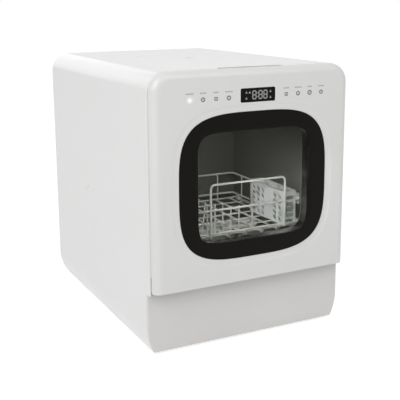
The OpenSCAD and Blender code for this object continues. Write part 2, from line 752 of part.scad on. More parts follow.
module fill_funnel() {
    wall = 2;
    y0 = fill_y - fill_d / 2 - 6;
    y1 = neck_y + neck_r + 8;
    hw = fill_hw + 6;
    top = body_h - shell_t - gap;
    color("gainsboro") difference() {
        slab(-hw, hw, y0, y1, 14, funnel_z0, top);
        slab(-hw + wall, hw - wall, y0 + wall, y1 - wall, 12, funnel_z0 + wall, top + 1);
        rod_z(0, neck_y, funnel_z0 - 1, funnel_z0 + wall + 1, neck_r - 4);
    }
    color("gainsboro") {
        difference() {
            rod_z(0, neck_y, funnel_z0 - 18, funnel_z0 + 1, neck_r - gap);
            rod_z(0, neck_y, funnel_z0 - 19, funnel_z0 + wall + 1, neck_r - gap - wall);
        }
        // feet on the tub and ledges under the cover's ring
        both_sides() rod_z(hw - 10, fill_y, tub_z1 + tub_t + gap, funnel_z0 + 1, 4);
        both_sides() for (y = [fill_y - 24, fill_y + 24])
            box(hw - 14, hw - wall + 0.1, y - 5, y + 5, body_h - 11, body_h - 8 - gap);
    }
}

module fill_cover() {
    lid_t = 2.4;
    y0 = fill_y - fill_d / 2;
    y1 = fill_y + fill_d / 2;
    color("whitesmoke") difference() {
        union() {
            slab(-fill_hw, fill_hw, y0, y1, 20, body_h - lid_t, body_h);
            // ring that centres it in the opening
            difference() {
                slab(-fill_hw + 2, fill_hw - 2, y0 + 2, y1 - 2, 18, body_h - 8, body_h - 1);
                slab(-fill_hw + 4, fill_hw - 4, y0 + 4, y1 - 4, 16, body_h - 9, body_h - lid_t);
            }
        }
        // notch for a fingertip in the front edge
        rod_z(0, y0 - 6, body_h - 9, body_h + 1, 12);
    }
}

module blower_housing() {
    r = 31;
    z1 = blower_z0 + blower_h;
    color("gray") difference() {
        union() {
            rod_z(blower_x, blower_y, blower_z0, z1, r);
            box(blower_x - 20, blower_x + r - 1, blower_y, back_in - 7, blower_z0, z1 - 2);
        }
        rod_z(blower_x, blower_y, blower_z0 + 2, z1 - 2, r - 2);
        box(blower_x - 18, blower_x + r - 3, blower_y + 20, back_in, blower_z0 + 2, z1 - 4);
        rod_z(blower_x, blower_y, blower_z0 - 1, blower_z0 + 3, 12);
    }
    // pin through the wheel's hub
    color("gray") rod_z(blower_x, blower_y, blower_z0 + 3.5, z1 - 1, 2);
}

module blower_wheel() {
    r = 26;
    z0 = blower_z0 + 4;
    color("black") {
        difference() {
            union() {
                rod_z(blower_x, blower_y, z0, z0 + 4, 6);
                rod_z(blower_x, blower_y, z0, z0 + 1.5, r);
            }
            rod_z(blower_x, blower_y, z0 - 1, z0 + 10, 2 + fit);
            for (a = [0:60:300]) rod_z(blower_x + 13 * cos(a), blower_y + 13 * sin(a), z0 - 1, z0 + 3, 5);
        }
        for (a = [0:22.5:337.5]) translate([blower_x, blower_y, z0]) rotate([0, 0, a])
            translate([r - 7, -0.6, 1]) cube([6.6, 1.2, 11]);
    }
}

module inlet_valve() {
    color("royalblue") {
        box(inlet_x - 20, inlet_x + 20, recess_y - 46, recess_y - 12, port_z - 18, port_z + 18);
        rod_x(inlet_x - 32, inlet_x - 20, recess_y - 30, port_z, 10);
    }
    // foot on the base tray
    color("royalblue") box(inlet_x - 12, inlet_x + 12, recess_y - 44, recess_y - 30, base_z, port_z - 17);
}

module inlet_spigot() {
    color("gray") difference() {
        union() {
            rod_y(inlet_x, recess_y - 12, recess_y - 2, port_z, inlet_r + 4);
            rod_y(inlet_x, recess_y - 2, recess_y + 0.6, port_z, inlet_r - 0.6);
            rod_y(inlet_x, recess_y + 0.5, recess_y + 20, port_z, inlet_r);
        }
        rod_y(inlet_x, recess_y - 8, recess_y + 21, port_z, inlet_r - 3.5);
    }
}

module drain_spigot() {
    color("gray") difference() {
        union() {
            rod_y(drain_x, recess_y - 8, recess_y - 2, port_z, drain_r + 5);
            rod_y(drain_x, recess_y - 2, recess_y + 0.6, port_z, drain_r - 0.6);
            rod_y(drain_x, recess_y + 0.5, recess_y + 20, port_z, drain_r);
        }
        rod_y(drain_x, recess_y - 9, recess_y + 21, port_z, drain_r - 2);
    }
}

module cord_gland() {
    color("black") difference() {
        union() {
            rod_y(0, recess_y - 8, recess_y - 2, port_z, 12);
            rod_y(0, recess_y - 2, recess_y + 6, port_z, 9);
            rod_y(0, recess_y, recess_y + 4, port_z, 12);
        }
        rod_y(0, recess_y - 9, recess_y + 7, port_z, 4);
    }
}

module power_board() {
    z = base_z + 14;
    color("darkgreen") box(-136, -64, 16, 104, z, z + board_t);
    color("dimgray") {
        box(-128, -104, 24, 52, z + board_t, z + board_t + 22);
        for (i = [0:2]) rod_z(-84, 34 + i * 24, z + board_t, z + board_t + 18, 8);
        box(-130, -100, 66, 94, z + board_t, z + board_t + 14);
    }
}

module leak_float() {
    color("white") rod_z(0, 70, base_z + 2 * gap, base_z + 12, 11);
}

// ---------------------------------------------------------------- door

door_hw = half_w - door_inset;
door_top = body_h - 0.5;
door_cr = corner_r - door_inset;
skirt_l = door_proud - 0.8;

// section of the door's rounded edge: u inwards from the side, v back from the front
function edge_pts() = concat([[0, skirt_l]],
    [for (i = [0:8]) let (a = 180 + i * 90 / 8)
        [door_edge_r + door_edge_r * cos(a), door_edge_r + door_edge_r * sin(a)]],
    [[door_cr, 0], [door_cr, door_t]],
    [for (i = [0:8]) let (a = 270 - i * 90 / 8, r = door_edge_r - door_t)
        [door_edge_r + r * cos(a), door_edge_r + r * sin(a)]],
    [[door_t, skirt_l]]);

module door_panel() {
    zc = door_top - door_cr;
    color("whitesmoke") difference() {
        union() {
            both_sides() {
                translate([0, 0, door_z0]) linear_extrude(zc - door_z0)
                    polygon([for (p = edge_pts()) [door_hw - p[0], door_y + p[1]]]);
                translate([door_hw - door_cr, 0, zc]) rotate([90, 0, 0]) rotate_extrude(angle = 90)
                    polygon([for (p = edge_pts()) [door_cr - p[0], -door_y - p[1]]]);
            }
            translate([-door_hw + door_cr, 0, 0]) rotate([0, 90, 0]) linear_extrude(2 * (door_hw - door_cr))
                polygon([for (p = edge_pts()) [-door_top + p[0], door_y + p[1]]]);
            box(-door_hw + door_cr, door_hw - door_cr, door_y, door_y + door_t, door_z0, zc);
            // lower return
            box(-door_hw + door_t, door_hw - door_t, door_y + 1, door_y + skirt_l, door_z0, door_z0 + door_t);
        }
        frame_plate(gap, door_y - 1, door_y + door_t + 1);
        along_y(door_y - 1, door_y + door_t + 1) polygon(round_rect(strip_x - display_w / 2 - gap,
            strip_x + display_w / 2 + gap, control_z - display_h / 2 - gap, control_z + display_h / 2 + gap, 2));
        // the brackets swing through here
        both_sides() box(bracket_x - bracket_t / 2 - 1.5, bracket_x + bracket_t / 2 + 1.5, door_y + door_t,
            seam_y, door_z0 - 1, door_z0 + door_t + 1);
    }
}

module door_liner() {
    wall = 2.5;
    y0 = seam_y + gap;
    lap = 4;                                // how far its rim reaches into the outer panel
    pocket = grip_w / 2 + 3;
    color("white") difference() {
        union() {
            difference() {
                union() {
                    body_plate(nest_in, hinge_z, y0, liner_y);
                    body_plate(nest_in + gap, hinge_z, seam_y - lap, y0);
                }
                difference() {
                    body_plate(nest_in + wall, hinge_z + wall, seam_y - lap - 1, liner_y - wall);
                    // what stays: the window's tunnel and the floor of the finger recess
                    glass_plate(6, seam_y - lap - 2, liner_y);
                    box(-pocket - wall, pocket + wall, seam_y - lap - 2, liner_y, grip_z0 - wall, body_h);
                }
            }
            // the tunnel meets the window's frame
            glass_plate(6, front_y + 9 + gap, y0);
            // posts behind the outer panel
            both_sides() for (z = [hinge_z + 22, window_z + bezel_b + 6])
                rod_y(nest_hw - 12, door_y + door_t + gap, liner_y - 1, z, 4);
            // hinge bosses on both sides of each bracket
            both_sides() for (x = [bracket_x - 10, bracket_x + bracket_t / 2 + 1]) {
                rod_x(x, x + 7.5, hinge_y, hinge_z, boss_r);
                box(x, x + 7.5, hinge_y, y0 + 3, hinge_z, hinge_z + boss_r);
            }
        }
        glass_plate(3, front_y, liner_y + 1);
        box(-pocket, pocket, seam_y - lap - 3, liner_y + 1, grip_z0, body_h);
        both_sides() {
            rod_x(bracket_x - 12, bracket_x + 12, hinge_y, hinge_z, hinge_pin_r + fit);
            box(bracket_x - bracket_t / 2 - 1, bracket_x + bracket_t / 2 + 1, hinge_y - 8, liner_y + 1,
                hinge_z - 8, hinge_z + boss_r + 1);
        }
        // well of the detergent cup
        box(cup_x - 34, cup_x + 34, liner_y - 12.5, liner_y + 1, cup_z - cup_hh, cup_z + cup_hh);
    }
}

module window_bezel() {
    color([0.11, 0.1, 0.1]) difference() {
        union() {
            frame_plate(0, front_y, front_y + 9);
            // flange behind the outer panel
            frame_plate(4, door_y + door_t + gap, door_y + door_t + 2.3);
        }
        glass_plate(0, front_y - 1, front_y + 10);
        glass_plate(3, front_y + 2.5, front_y + 10);
    }
}

module outer_glass() {
    color([0.25, 0.25, 0.24, 0.45])
        glass_plate(3 - gap, front_y + 2.5 + gap, front_y + 2.5 + gap + pane_t);
}

module inner_glass() {
    color([0.6, 0.6, 0.6, 0.35])
        glass_plate(3 - gap, liner_y - 0.5 - pane_t, liner_y - 0.5);
}

module display_window() {
    color("black") along_y(door_y, door_y + 3) polygon(round_rect(strip_x - display_w / 2,
        strip_x + display_w / 2, control_z - display_h / 2, control_z + display_h / 2, 2));
}

module control_board() {
    hw = key_x0 + 3 * key_pitch + 8;
    y = door_y + door_t + 1;
    color("darkgreen") box(strip_x - hw, strip_x + hw, y, y + board_t, control_z - 14, control_z + 14);
    // touch pads against the panel's inner face
    color("gold") for (s = [-1, 1], i = [0:3])
        rod_y(strip_x + s * (key_x0 + i * key_pitch), door_y + door_t + gap, y + 0.1, control_z - 2, 5);
}

module hinge_brackets() {
    color("silver") both_sides() difference() {
        union() {
            translate([bracket_x - bracket_t / 2, 0, 0]) rotate([90, 0, 90]) linear_extrude(bracket_t)
                polygon([[frame_y, 80], [frame_y, hinge_z + 5], [hinge_y, hinge_z + 5],
                    [hinge_y, hinge_z - 5], [hinge_y + 12, hinge_z - 5], [liner_y - 2, kick_top + 1.5],
                    [frame_y - bracket_foot_t, kick_top + 1.5], [frame_y - bracket_foot_t, 80]]);
            rod_x(bracket_x - bracket_t / 2, bracket_x + bracket_t / 2, hinge_y, hinge_z, 5);
            // foot on the front frame
            box(bracket_x - 16, bracket_x, frame_y - bracket_foot_t, frame_y, 80, 100);
        }
        rod_x(bracket_x - 4, bracket_x + 4, hinge_y, hinge_z, hinge_pin_r);
        for (z = bracket_screw_z) rod_y(bracket_x - 9, frame_y - 4, frame_y + 1, z, screw_r + gap);
    }
}

module hinge_pins() {
    color("dimgray") both_sides() rod_x(bracket_x - 10, bracket_x + 9.5, hinge_y, hinge_z, hinge_pin_r);
}

module latch_tongue() {
    color("gray") {
        box(latch_x - 14, latch_x + 36, liner_y, liner_y + 2, latch_z - 4, latch_z + 4);
        box(latch_x - 7, latch_x + 7, liner_y, liner_y + 16, latch_z - 2, latch_z + 2);
    }
}

module latch_housing() {
    y0 = frame_y + frame_t;
    color("dimgray") {
        difference() {
            box(latch_x - 16, latch_x + 40, y0, y0 + 26, latch_z - 10, latch_z + 10);
            box(latch_x - 9, latch_x + 9, y0 - 1, y0 + 22, latch_z - 5, latch_z + 5);
            rod_y(latch_x + 30, y0 - 1, y0 + 18, latch_z, 3 + fit);
        }
        // spring lips beside the tongue
        for (z = [latch_z - 3.8, latch_z + 3.8])
            box(latch_x - 6, latch_x + 6, y0 + 3, y0 + 8, z - 1.4, z + 1.4);
    }
}

module switch_plunger() {
    color("red") rod_y(latch_x + 30, liner_y + 2 + gap, frame_y + frame_t + 12, latch_z, 3);
}

module detergent_cup() {
    wall = 1.5;
    y1 = liner_y;
    color("gray") difference() {
        box(cup_x - 34 + gap, cup_x + 34 - gap, y1 - 12, y1, cup_z - cup_hh + gap, cup_z + cup_hh - gap);
        box(cup_x - 34 + gap + wall, cup_x + 2, y1 - 12 + wall, y1 + 1,
            cup_z - cup_hh + gap + wall, cup_z + cup_hh - gap - wall);
    }
}

module detergent_lid() {
    y0 = liner_y + gap;
    hh = cup_hh - 0.5;
    color("lightgray") {
        box(cup_x - 34, cup_x + 4, y0, y0 + 2, cup_z - hh, cup_z + hh);
        // barrel that it turns on
        rod_x(cup_x - 33, cup_x + 3, y0 + 1, cup_z - hh, 0.9);
        box(cup_x - 32, cup_x - 28, y0 + 2, y0 + 4, cup_z - 6, cup_z + 6);
    }
}

// ---------------------------------------------------------------- rack

// closed wire loop round the rack at height z
module rim(z, r) {
    c = 8;
    for (s = [-1, 1]) {
        bar([s * rack_hw, rack_y0 + c, z], [s * rack_hw, rack_y1 - c, z], r);
        for (t = [[rack_y0 + c, -1], [rack_y1 - c, 1]])
            translate([s * (rack_hw - c), t[0], z])
                rotate([0, 0, s * t[1] > 0 ? (s > 0 ? 0 : 180) : (s > 0 ? 270 : 90)])
                    rotate_extrude(angle = 90) translate([c, 0]) circle(r = r);
    }
    for (y = [rack_y0, rack_y1]) bar([-rack_hw + c, y, z], [rack_hw - c, y, z], r);
}

module rack_frame() {
    c = 6;
    hoop_y = rack_y0 - 2 * wire_r + 0.6;
    color("white") {
        rim(rim_z, wire_r);
        rim(low_rim_z, wire_r);
        // handle hoop
        for (s = [[hoop_x0, 1], [hoop_x1, -1]]) {
            bar([s[0], hoop_y, low_rim_z - 4], [s[0], hoop_y, hoop_z - c], wire_r);
            translate([s[0] + s[1] * c, hoop_y, hoop_z - c])
                rotate([90, 0, 0]) rotate([0, 0, s[1] > 0 ? 90 : 0])
                    rotate_extrude(angle = 90) translate([c, 0]) circle(r = wire_r);
        }
        bar([hoop_x0 + c, hoop_y, hoop_z], [hoop_x1 - c, hoop_y, hoop_z], wire_r);
        // uprights between the rims
        for (x = [-100, 41])
            bar([x, rack_y0 + wire_r, low_rim_z - 1], [x, rack_y0 + wire_r, rim_z + 1], thin_r);
        for (x = [-100:50:100])
            bar([x, rack_y1 - wire_r, low_rim_z - 10], [x, rack_y1 - wire_r, rim_z + 1], thin_r);
        for (x = [wire_r - rack_hw, rack_hw - wire_r], i = [1:5]) let (y = rack_y0 + i * rack_d / 6)
            bar([x, y, low_rim_z - 10], [x, y, rim_z + 1], thin_r);
    }
    // runners that ride on the rollers, hung from the lower rim
    color("white") both_sides() {
        box(runner_x0, runner_x1, rack_y0 + 12, rack_y1 - 1, runner_z, runner_z + 3);
        for (y = [rack_y0 + 20, rack_y1 - 20])
            box(rack_hw - 1, runner_x0 + 2, y - 4, y + 4, runner_z, low_rim_z);
    }
}

module rack_floor() {
    n = 8;
    cross_hw = rack_hw - wire_r - thin_r;
    color("white") {
        for (i = [0:n]) let (x = -rack_hw + 10 + i * (2 * rack_hw - 20) / n)
            bar([x, rack_y0 + 3, floor_z], [x, rack_y1 - 3, floor_z], wire_r);
        for (i = [0:6]) let (y = rack_y0 + 12 + i * (rack_d - 24) / 6, z = floor_z + thin_r + wire_r - 0.5)
            bar([-cross_hw, y, z], [cross_hw, y, z], thin_r);
        // upturned ends that meet the lower rim
        for (i = [1:n - 1]) let (x = -rack_hw + 10 + i * (2 * rack_hw - 20) / n) {
            bar([x, rack_y0 + 3, floor_z], [x, rack_y0 + 3, low_rim_z + 1], thin_r);
            bar([x, rack_y1 - 3, floor_z], [x, rack_y1 - 3, low_rim_z - 11], thin_r);
        }
    }
}

module plate_tines() {
    color("white") for (row = [-96, -38]) {
        base = floor_z + 2 * thin_r + wire_r + 0.4;
        bar([row, rack_y0 + 20, base], [row, rack_y1 - 14, base], thin_r);
        for (i = [0:floor((rack_d - 50) / tine_pitch)]) let (y = rack_y0 + 26 + i * tine_pitch)
            bar([row, y, base], [row + 6, y, base + tine_h], thin_r);
    }
}

// studs through the tub's walls, each with a head that keeps its roller on
module roller_studs() {
    color("silver") both_sides() for (y = [roller_y0, roller_y1]) {
        rod_x(runner_x0 - gap - 1.5, runner_x0 - gap, y, roller_z, 4);
        rod_x(runner_x0 - gap - 0.5, tub_hw + tub_t + 4, y, roller_z, stud_r);
        rod_x(runner_x1 + gap, tub_hw - 0.8, y, roller_z, 4.5);
        rod_x(tub_hw + tub_t, tub_hw + tub_t + 3, y, roller_z, 4.5);
    }
}

module roller_pair(y) {
    color("gainsboro") both_sides() difference() {
        rod_x(runner_x0, runner_x1, y, roller_z, roller_r);
        rod_x(runner_x0 - 1, runner_x1 + 1, y, roller_z, stud_r + fit);
    }
}

module rack_rollers_front() { roller_pair(roller_y0); }

module rack_rollers_rear() { roller_pair(roller_y1); }

module cutlery_basket() {
    z1 = basket_z0 + basket_h;
    y1 = basket_y0 + basket_len;
    slot_w = 9.5;
    hook_z = rim_z + wire_r + 5;
    columns = concat([for (i = [0:1]) basket_y0 + 6 + i * 15], [for (i = [0:2]) y1 - 47 + i * 15]);
    color("white") difference() {
        union() {
            box(basket_x0, basket_x1, basket_y0, y1, basket_z0, z1);
            // hook over the rack's rim
            box(basket_x1 - 1, rack_hw + 6, basket_y0 + 4, basket_y0 + 20, rim_z + wire_r + gap, hook_z);
            box(rack_hw + wire_r + 1, rack_hw + 6, basket_y0 + 4, basket_y0 + 20, rim_z - 12, hook_z);
        }
        box(basket_x0 + basket_t, basket_x1 - basket_t, basket_y0 + basket_t, y1 - basket_t,
            basket_z0 + basket_t, z1 + 1);
        // slanting slots in the long sides, with a plain strip between two groups of columns
        for (y = columns, j = [0:8]) let (z = basket_z0 + 3.5 + j * (basket_h - 6) / 9)
            translate([basket_x0 - 1, 0, 0]) rotate([90, 0, 90]) linear_extrude(basket_x1 - basket_x0 + 2)
                polygon([[y, z], [y + slot_w, z + 1.8], [y + slot_w, z + 5], [y, z + 3.2]]);
        // slots in the ends
        for (j = [0:5]) let (z = basket_z0 + 4 + j * (basket_h - 8) / 6)
            box(basket_x0 + 4.5, basket_x1 - 4.5, basket_y0 - 1, y1 + 1, z, z + 5.8);
    }
    color("white") for (i = [1:2]) box(basket_x0 + basket_t, basket_x1 - basket_t,
        basket_y0 + i * basket_len / 3 - 0.7, basket_y0 + i * basket_len / 3 + 0.7, basket_z0 + 1, z1 - 3);
}

module basket_lid() {
    z = basket_z0 + basket_h + gap;
    y1 = basket_y0 + basket_len;
    color("white") difference() {
        box(basket_x0, basket_x1, basket_y0, y1, z, z + 2);
        for (i = [0:8]) box(basket_x0 + 4, basket_x1 - 4, basket_y0 + 5 + i * (basket_len - 12) / 8.6,
            basket_y0 + 10.5 + i * (basket_len - 12) / 8.6, z - 1, z + 3);
    }
}

// ---------------------------------------------------------------- fasteners

// screw along Y with its head's underside at y: s is 1 where the head faces the rear
module screw_y(x, y, z, length, s) {
    rod_y(x, min(y, y + s * head_t), max(y, y + s * head_t), z, head_r);
    rod_y(x, min(y, y - s * length), max(y, y - s * length), z, screw_r);
}

module screws() {
    color("silver") both_sides() {
        for (z = rear_screw_z) screw_y(half_w - 14, rear_y - head_t, z, 20, 1);
        for (z = bracket_screw_z) screw_y(bracket_x - 9, frame_y - bracket_foot_t, z, 8, -1);
    }
}

outer_shell();
rear_cover();
base_tray();
kick_panel();
front_frame();
rubber_feet();
tub();
tub_seal();
sump();
strainer_plate();
filter_cup();
spray_hub_lower();
spray_arm_lower();
spray_hub_upper();
spray_arm_upper();
riser_pipe();
heating_element();
wash_pump_casing();
wash_pump_motor();
wash_impeller();
drain_pump_body();
drain_impeller();
drain_hose();
water_tank();
tank_hose();
float_stem();
tank_float();
fill_funnel();
fill_cover();
roller_studs();
blower_housing();
blower_wheel();
inlet_valve();
inlet_spigot();
drain_spigot();
cord_gland();
power_board();
leak_float();
door_panel();
door_liner();
window_bezel();
outer_glass();
inner_glass();
display_window();
control_board();
hinge_brackets();
hinge_pins();
latch_tongue();
latch_housing();
switch_plunger();
detergent_cup();
detergent_lid();
rack_frame();
rack_floor();
plate_tines();
rack_rollers_front();
rack_rollers_rear();
cutlery_basket();
basket_lid();
screws();
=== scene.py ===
import json
import logging
import math
from dataclasses import dataclass, field
from enum import Enum

import bmesh
import bpy
from mathutils import Matrix, Vector

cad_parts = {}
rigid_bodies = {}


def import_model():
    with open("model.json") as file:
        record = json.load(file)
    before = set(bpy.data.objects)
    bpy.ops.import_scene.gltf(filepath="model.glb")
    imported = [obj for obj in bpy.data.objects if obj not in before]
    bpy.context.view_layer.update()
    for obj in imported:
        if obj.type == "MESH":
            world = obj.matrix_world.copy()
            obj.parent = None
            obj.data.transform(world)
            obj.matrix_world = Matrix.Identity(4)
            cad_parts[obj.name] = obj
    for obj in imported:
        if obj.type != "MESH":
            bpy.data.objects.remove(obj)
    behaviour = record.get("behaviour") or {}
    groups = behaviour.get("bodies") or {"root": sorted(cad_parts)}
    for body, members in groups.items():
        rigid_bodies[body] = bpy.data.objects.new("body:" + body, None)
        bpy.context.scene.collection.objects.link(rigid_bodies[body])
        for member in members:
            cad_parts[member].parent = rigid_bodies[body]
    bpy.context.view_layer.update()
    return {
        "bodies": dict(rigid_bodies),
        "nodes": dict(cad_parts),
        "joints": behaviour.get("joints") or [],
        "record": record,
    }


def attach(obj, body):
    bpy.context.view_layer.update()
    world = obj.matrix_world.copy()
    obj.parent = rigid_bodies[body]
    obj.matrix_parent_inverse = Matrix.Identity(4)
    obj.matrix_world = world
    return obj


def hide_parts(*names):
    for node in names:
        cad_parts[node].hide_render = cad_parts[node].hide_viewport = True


Point = tuple[float, float, float]
Pair = tuple[float, float]
Chain = tuple[list[Point], bool]
log = logging.getLogger("dishwasher")

# Every size below is in millimetres unless it says otherwise, and MM turns it into Blender's metres.
MM = 0.001
# Points that are closer than this, in metres, are made one: in a new mesh, after a cut, and in a wire.
WELD_NEW, WELD_CUT, WELD_WIRE = 0.000002, 0.000005, 0.000001
# In degrees. Edges steeper than SHARP stay crisp, and in a wire those steeper than CAPPED. A bevel goes on
# edges steeper than BEVELLED. Faces that turn by less than FLAT become one.
SHARP, CAPPED, BEVELLED, FLAT = 32.0, 50.0, 40.0, 0.05
# Thickness of the printed signs.
PRINT_T = 0.1

COAT_ROUGHNESS = 0.06
# Brushed grain is drawn out along Z.
BRUSH_SCALE = (1.0, 1.0, 0.03)
# The slow drift of colour and gloss: patches per metre, and the shares of the mean roughness it runs between.
DRIFT, DULL_SHARES = 14.0, (0.9, 1.12)
# Where a noise counts as lowest and as highest.
NOISE_ENDS = (0.15, 0.85)


class Surface(Enum):
    """How a finish's surface is broken up, or that it is glass or shines."""

    MOULDED = "moulded"
    BRUSHED = "brushed"
    BOARD = "board"
    GLASS = "glass"
    LIT = "lit"


class Axis(Enum):
    """The axis that a prism runs along."""

    X = "x"
    Y = "y"
    Z = "z"


@dataclass(frozen=True)
class Finish:
    """A finish with the small unevenness that the real material has.

    Attributes:
        name: The material's name.
        color: Base colour, linear.
        roughness: Mean roughness.
        surface: How its surface is broken up.
        metallic: 1 for bare metal.
        coat: Weight of the clear skin of a glossy moulding.
        specular: Strength of the surface's own reflection.
        grain: Bumps per metre.
        bump: Height of the bumps in metres.
        mottle: Share by which the colour drifts over the piece.
        glow: Strength of its own light.
        ior: Index of refraction, low for a pane with an anti-glare skin.
        slot: The record's material slot it stands for.
    """

    name: str
    color: Point
    roughness: float
    surface: Surface = Surface.MOULDED
    metallic: float = 0.0
    coat: float = 0.0
    specular: float = 0.5
    grain: float = 900.0
    bump: float = 0.00002
    mottle: float = 0.02
    glow: float = 0.0
    ior: float = 1.45
    slot: str = ""

    def material(self) -> bpy.types.Material:
        """Make the finish's material, or find it if it has been made.

        Returns:
            The material.
        """
        found = bpy.data.materials.get(self.name)
        if found:
            return found
        mat = bpy.data.materials.new(self.name)
        mat.use_nodes = True
        tree = mat.node_tree
        bsdf = tree.nodes["Principled BSDF"]
        bsdf.inputs["Base Color"].default_value = (*self.color, 1.0)
        bsdf.inputs["Metallic"].default_value = self.metallic
        bsdf.inputs["Coat Weight"].default_value = self.coat
        bsdf.inputs["Specular IOR Level"].default_value = self.specular
        bsdf.inputs["Coat Roughness"].default_value = COAT_ROUGHNESS
        if self.surface is Surface.GLASS:
            self._glass(tree, bsdf)
            return mat
        if self.surface is Surface.LIT:
            bsdf.inputs["Emission Color"].default_value = (*self.color, 1.0)
            bsdf.inputs["Emission Strength"].default_value = self.glow
        coords = tree.nodes.new("ShaderNodeTexCoord")
        place = tree.nodes.new("ShaderNodeMapping")
        if self.surface is Surface.BRUSHED:
            place.inputs["Scale"].default_value = BRUSH_SCALE
        tree.links.new(coords.outputs["Object"], place.inputs["Vector"])
        drift = self._noise(tree, place, DRIFT, 3.0)
        fine = self._noise(tree, place, self.grain, 2.0)
        self._spread(tree, drift, bsdf.inputs["Roughness"])
        self._tint(tree, drift, fine, bsdf)
        bump = tree.nodes.new("ShaderNodeBump")
        bump.inputs["Strength"].default_value = 1.0
        bump.inputs["Distance"].default_value = self.bump
        tree.links.new(fine.outputs["Fac"], bump.inputs["Height"])
        tree.links.new(bump.outputs["Normal"], bsdf.inputs["Normal"])
        return mat

    def _noise(self, tree: bpy.types.NodeTree, place: bpy.types.Node, scale: float,
               detail: float) -> bpy.types.Node:
        """Add a noise texture on the placed coordinates.

        Args:
            tree: The material's nodes.
            place: The mapping node that gives the coordinates.
            scale: Features per metre.
            detail: Octaves.

        Returns:
            The noise texture.
        """
        node = tree.nodes.new("ShaderNodeTexNoise")
        node.inputs["Scale"].default_value = scale
        node.inputs["Detail"].default_value = detail
        tree.links.new(place.outputs["Vector"], node.inputs["Vector"])
        return node

    def _spread(self, tree: bpy.types.NodeTree, source: bpy.types.Node, socket: bpy.types.NodeSocket) -> None:
        """Let the roughness drift a little over the piece.

        Args:
            tree: The material's nodes.
            source: Slow noise.
            socket: The shader's roughness.
        """
        node = tree.nodes.new("ShaderNodeMapRange")
        node.interpolation_type = "SMOOTHSTEP"
        for name, value in zip(("From Min", "From Max"), NOISE_ENDS):
            node.inputs[name].default_value = value
        for name, share in zip(("To Min", "To Max"), DULL_SHARES):
            node.inputs[name].default_value = self.roughness * share
        tree.links.new(source.outputs["Fac"], node.inputs["Value"])
        tree.links.new(node.outputs["Result"], socket)

    def _tint(self, tree: bpy.types.NodeTree, drift: bpy.types.Node, fine: bpy.types.Node,
              bsdf: bpy.types.Node) -> None:
        """Let the colour drift a little over the piece.

        Args:
            tree: The material's nodes.
            drift: Slow noise.
            fine: Fine noise, which shows on boards and brushed metal.
            bsdf: The shader.
        """
        mix = tree.nodes.new("ShaderNodeMix")
        mix.data_type = "RGBA"
        low = tuple(c * (1.0 - self.mottle) for c in self.color)
        high = tuple(min(1.0, c * (1.0 + self.mottle)) for c in self.color)
        mix.inputs[6].default_value = (*low, 1.0)
        mix.inputs[7].default_value = (*high, 1.0)
        source = fine if self.surface in (Surface.BOARD, Surface.BRUSHED) else drift
        tree.links.new(source.outputs["Fac"], mix.inputs[0])
        tree.links.new(mix.outputs[2], bsdf.inputs["Base Color"])

    def _glass(self, tree: bpy.types.NodeTree, bsdf: bpy.types.Node) -> None:
        """Make clear glass that lets the lamps through to what is behind it.

        Args:
            tree: The material's nodes.
            bsdf: The shader.
        """
        bsdf.inputs["Transmission Weight"].default_value = 1.0
        bsdf.inputs["Roughness"].default_value = self.roughness
        bsdf.inputs["IOR"].default_value = self.ior
        clear = tree.nodes.new("ShaderNodeBsdfTransparent")
        clear.inputs["Color"].default_value = (*(math.sqrt(c) for c in self.color), 1.0)
        path = tree.nodes.new("ShaderNodeLightPath")
        mix = tree.nodes.new("ShaderNodeMixShader")
        tree.links.new(path.outputs["Is Shadow Ray"], mix.inputs[0])
        tree.links.new(bsdf.outputs["BSDF"], mix.inputs[1])
        tree.links.new(clear.outputs["BSDF"], mix.inputs[2])
        tree.links.new(mix.outputs["Shader"], tree.nodes["Material Output"].inputs["Surface"])


@dataclass(frozen=True)
class Halo(Finish):
    """A white moulding that a lamp behind it lights from the middle of a key outwards.

    Attributes:
        middle: The key's middle, in millimetres.
        reach: How far the glow reaches, in millimetres.
        warm: Colour of the glow.
        peak: Its strength in the middle.
    """

    middle: Point = (0.0, 0.0, 0.0)
    reach: float = 7.0
    warm: Point = (1.0, 0.93, 0.62)
    peak: float = 0.3

    def material(self) -> bpy.types.Material:
        """Make the moulding's material and add the glow to it.

        Returns:
            The material.
        """
        mat = super().material()
        tree = mat.node_tree
        bsdf = tree.nodes["Principled BSDF"]
        bsdf.inputs["Emission Color"].default_value = (*self.warm, 1.0)
        coords = next(n for n in tree.nodes if n.type == "TEX_COORD")
        centre = tree.nodes.new("ShaderNodeMapping")
        centre.inputs["Location"].default_value = tuple(-v * MM for v in self.middle)
        length = tree.nodes.new("ShaderNodeVectorMath")
        length.operation = "LENGTH"
        fade = tree.nodes.new("ShaderNodeMapRange")
        fade.interpolation_type = "SMOOTHSTEP"
        fade.inputs["From Max"].default_value = self.reach * MM
        fade.inputs["To Min"].default_value = self.peak
        fade.inputs["To Max"].default_value = 0.0
        tree.links.new(coords.outputs["Object"], centre.inputs["Vector"])
        tree.links.new(centre.outputs["Vector"], length.inputs[0])
        tree.links.new(length.outputs["Value"], fade.inputs["Value"])
        tree.links.new(fade.outputs["Result"], bsdf.inputs["Emission Strength"])
        return mat


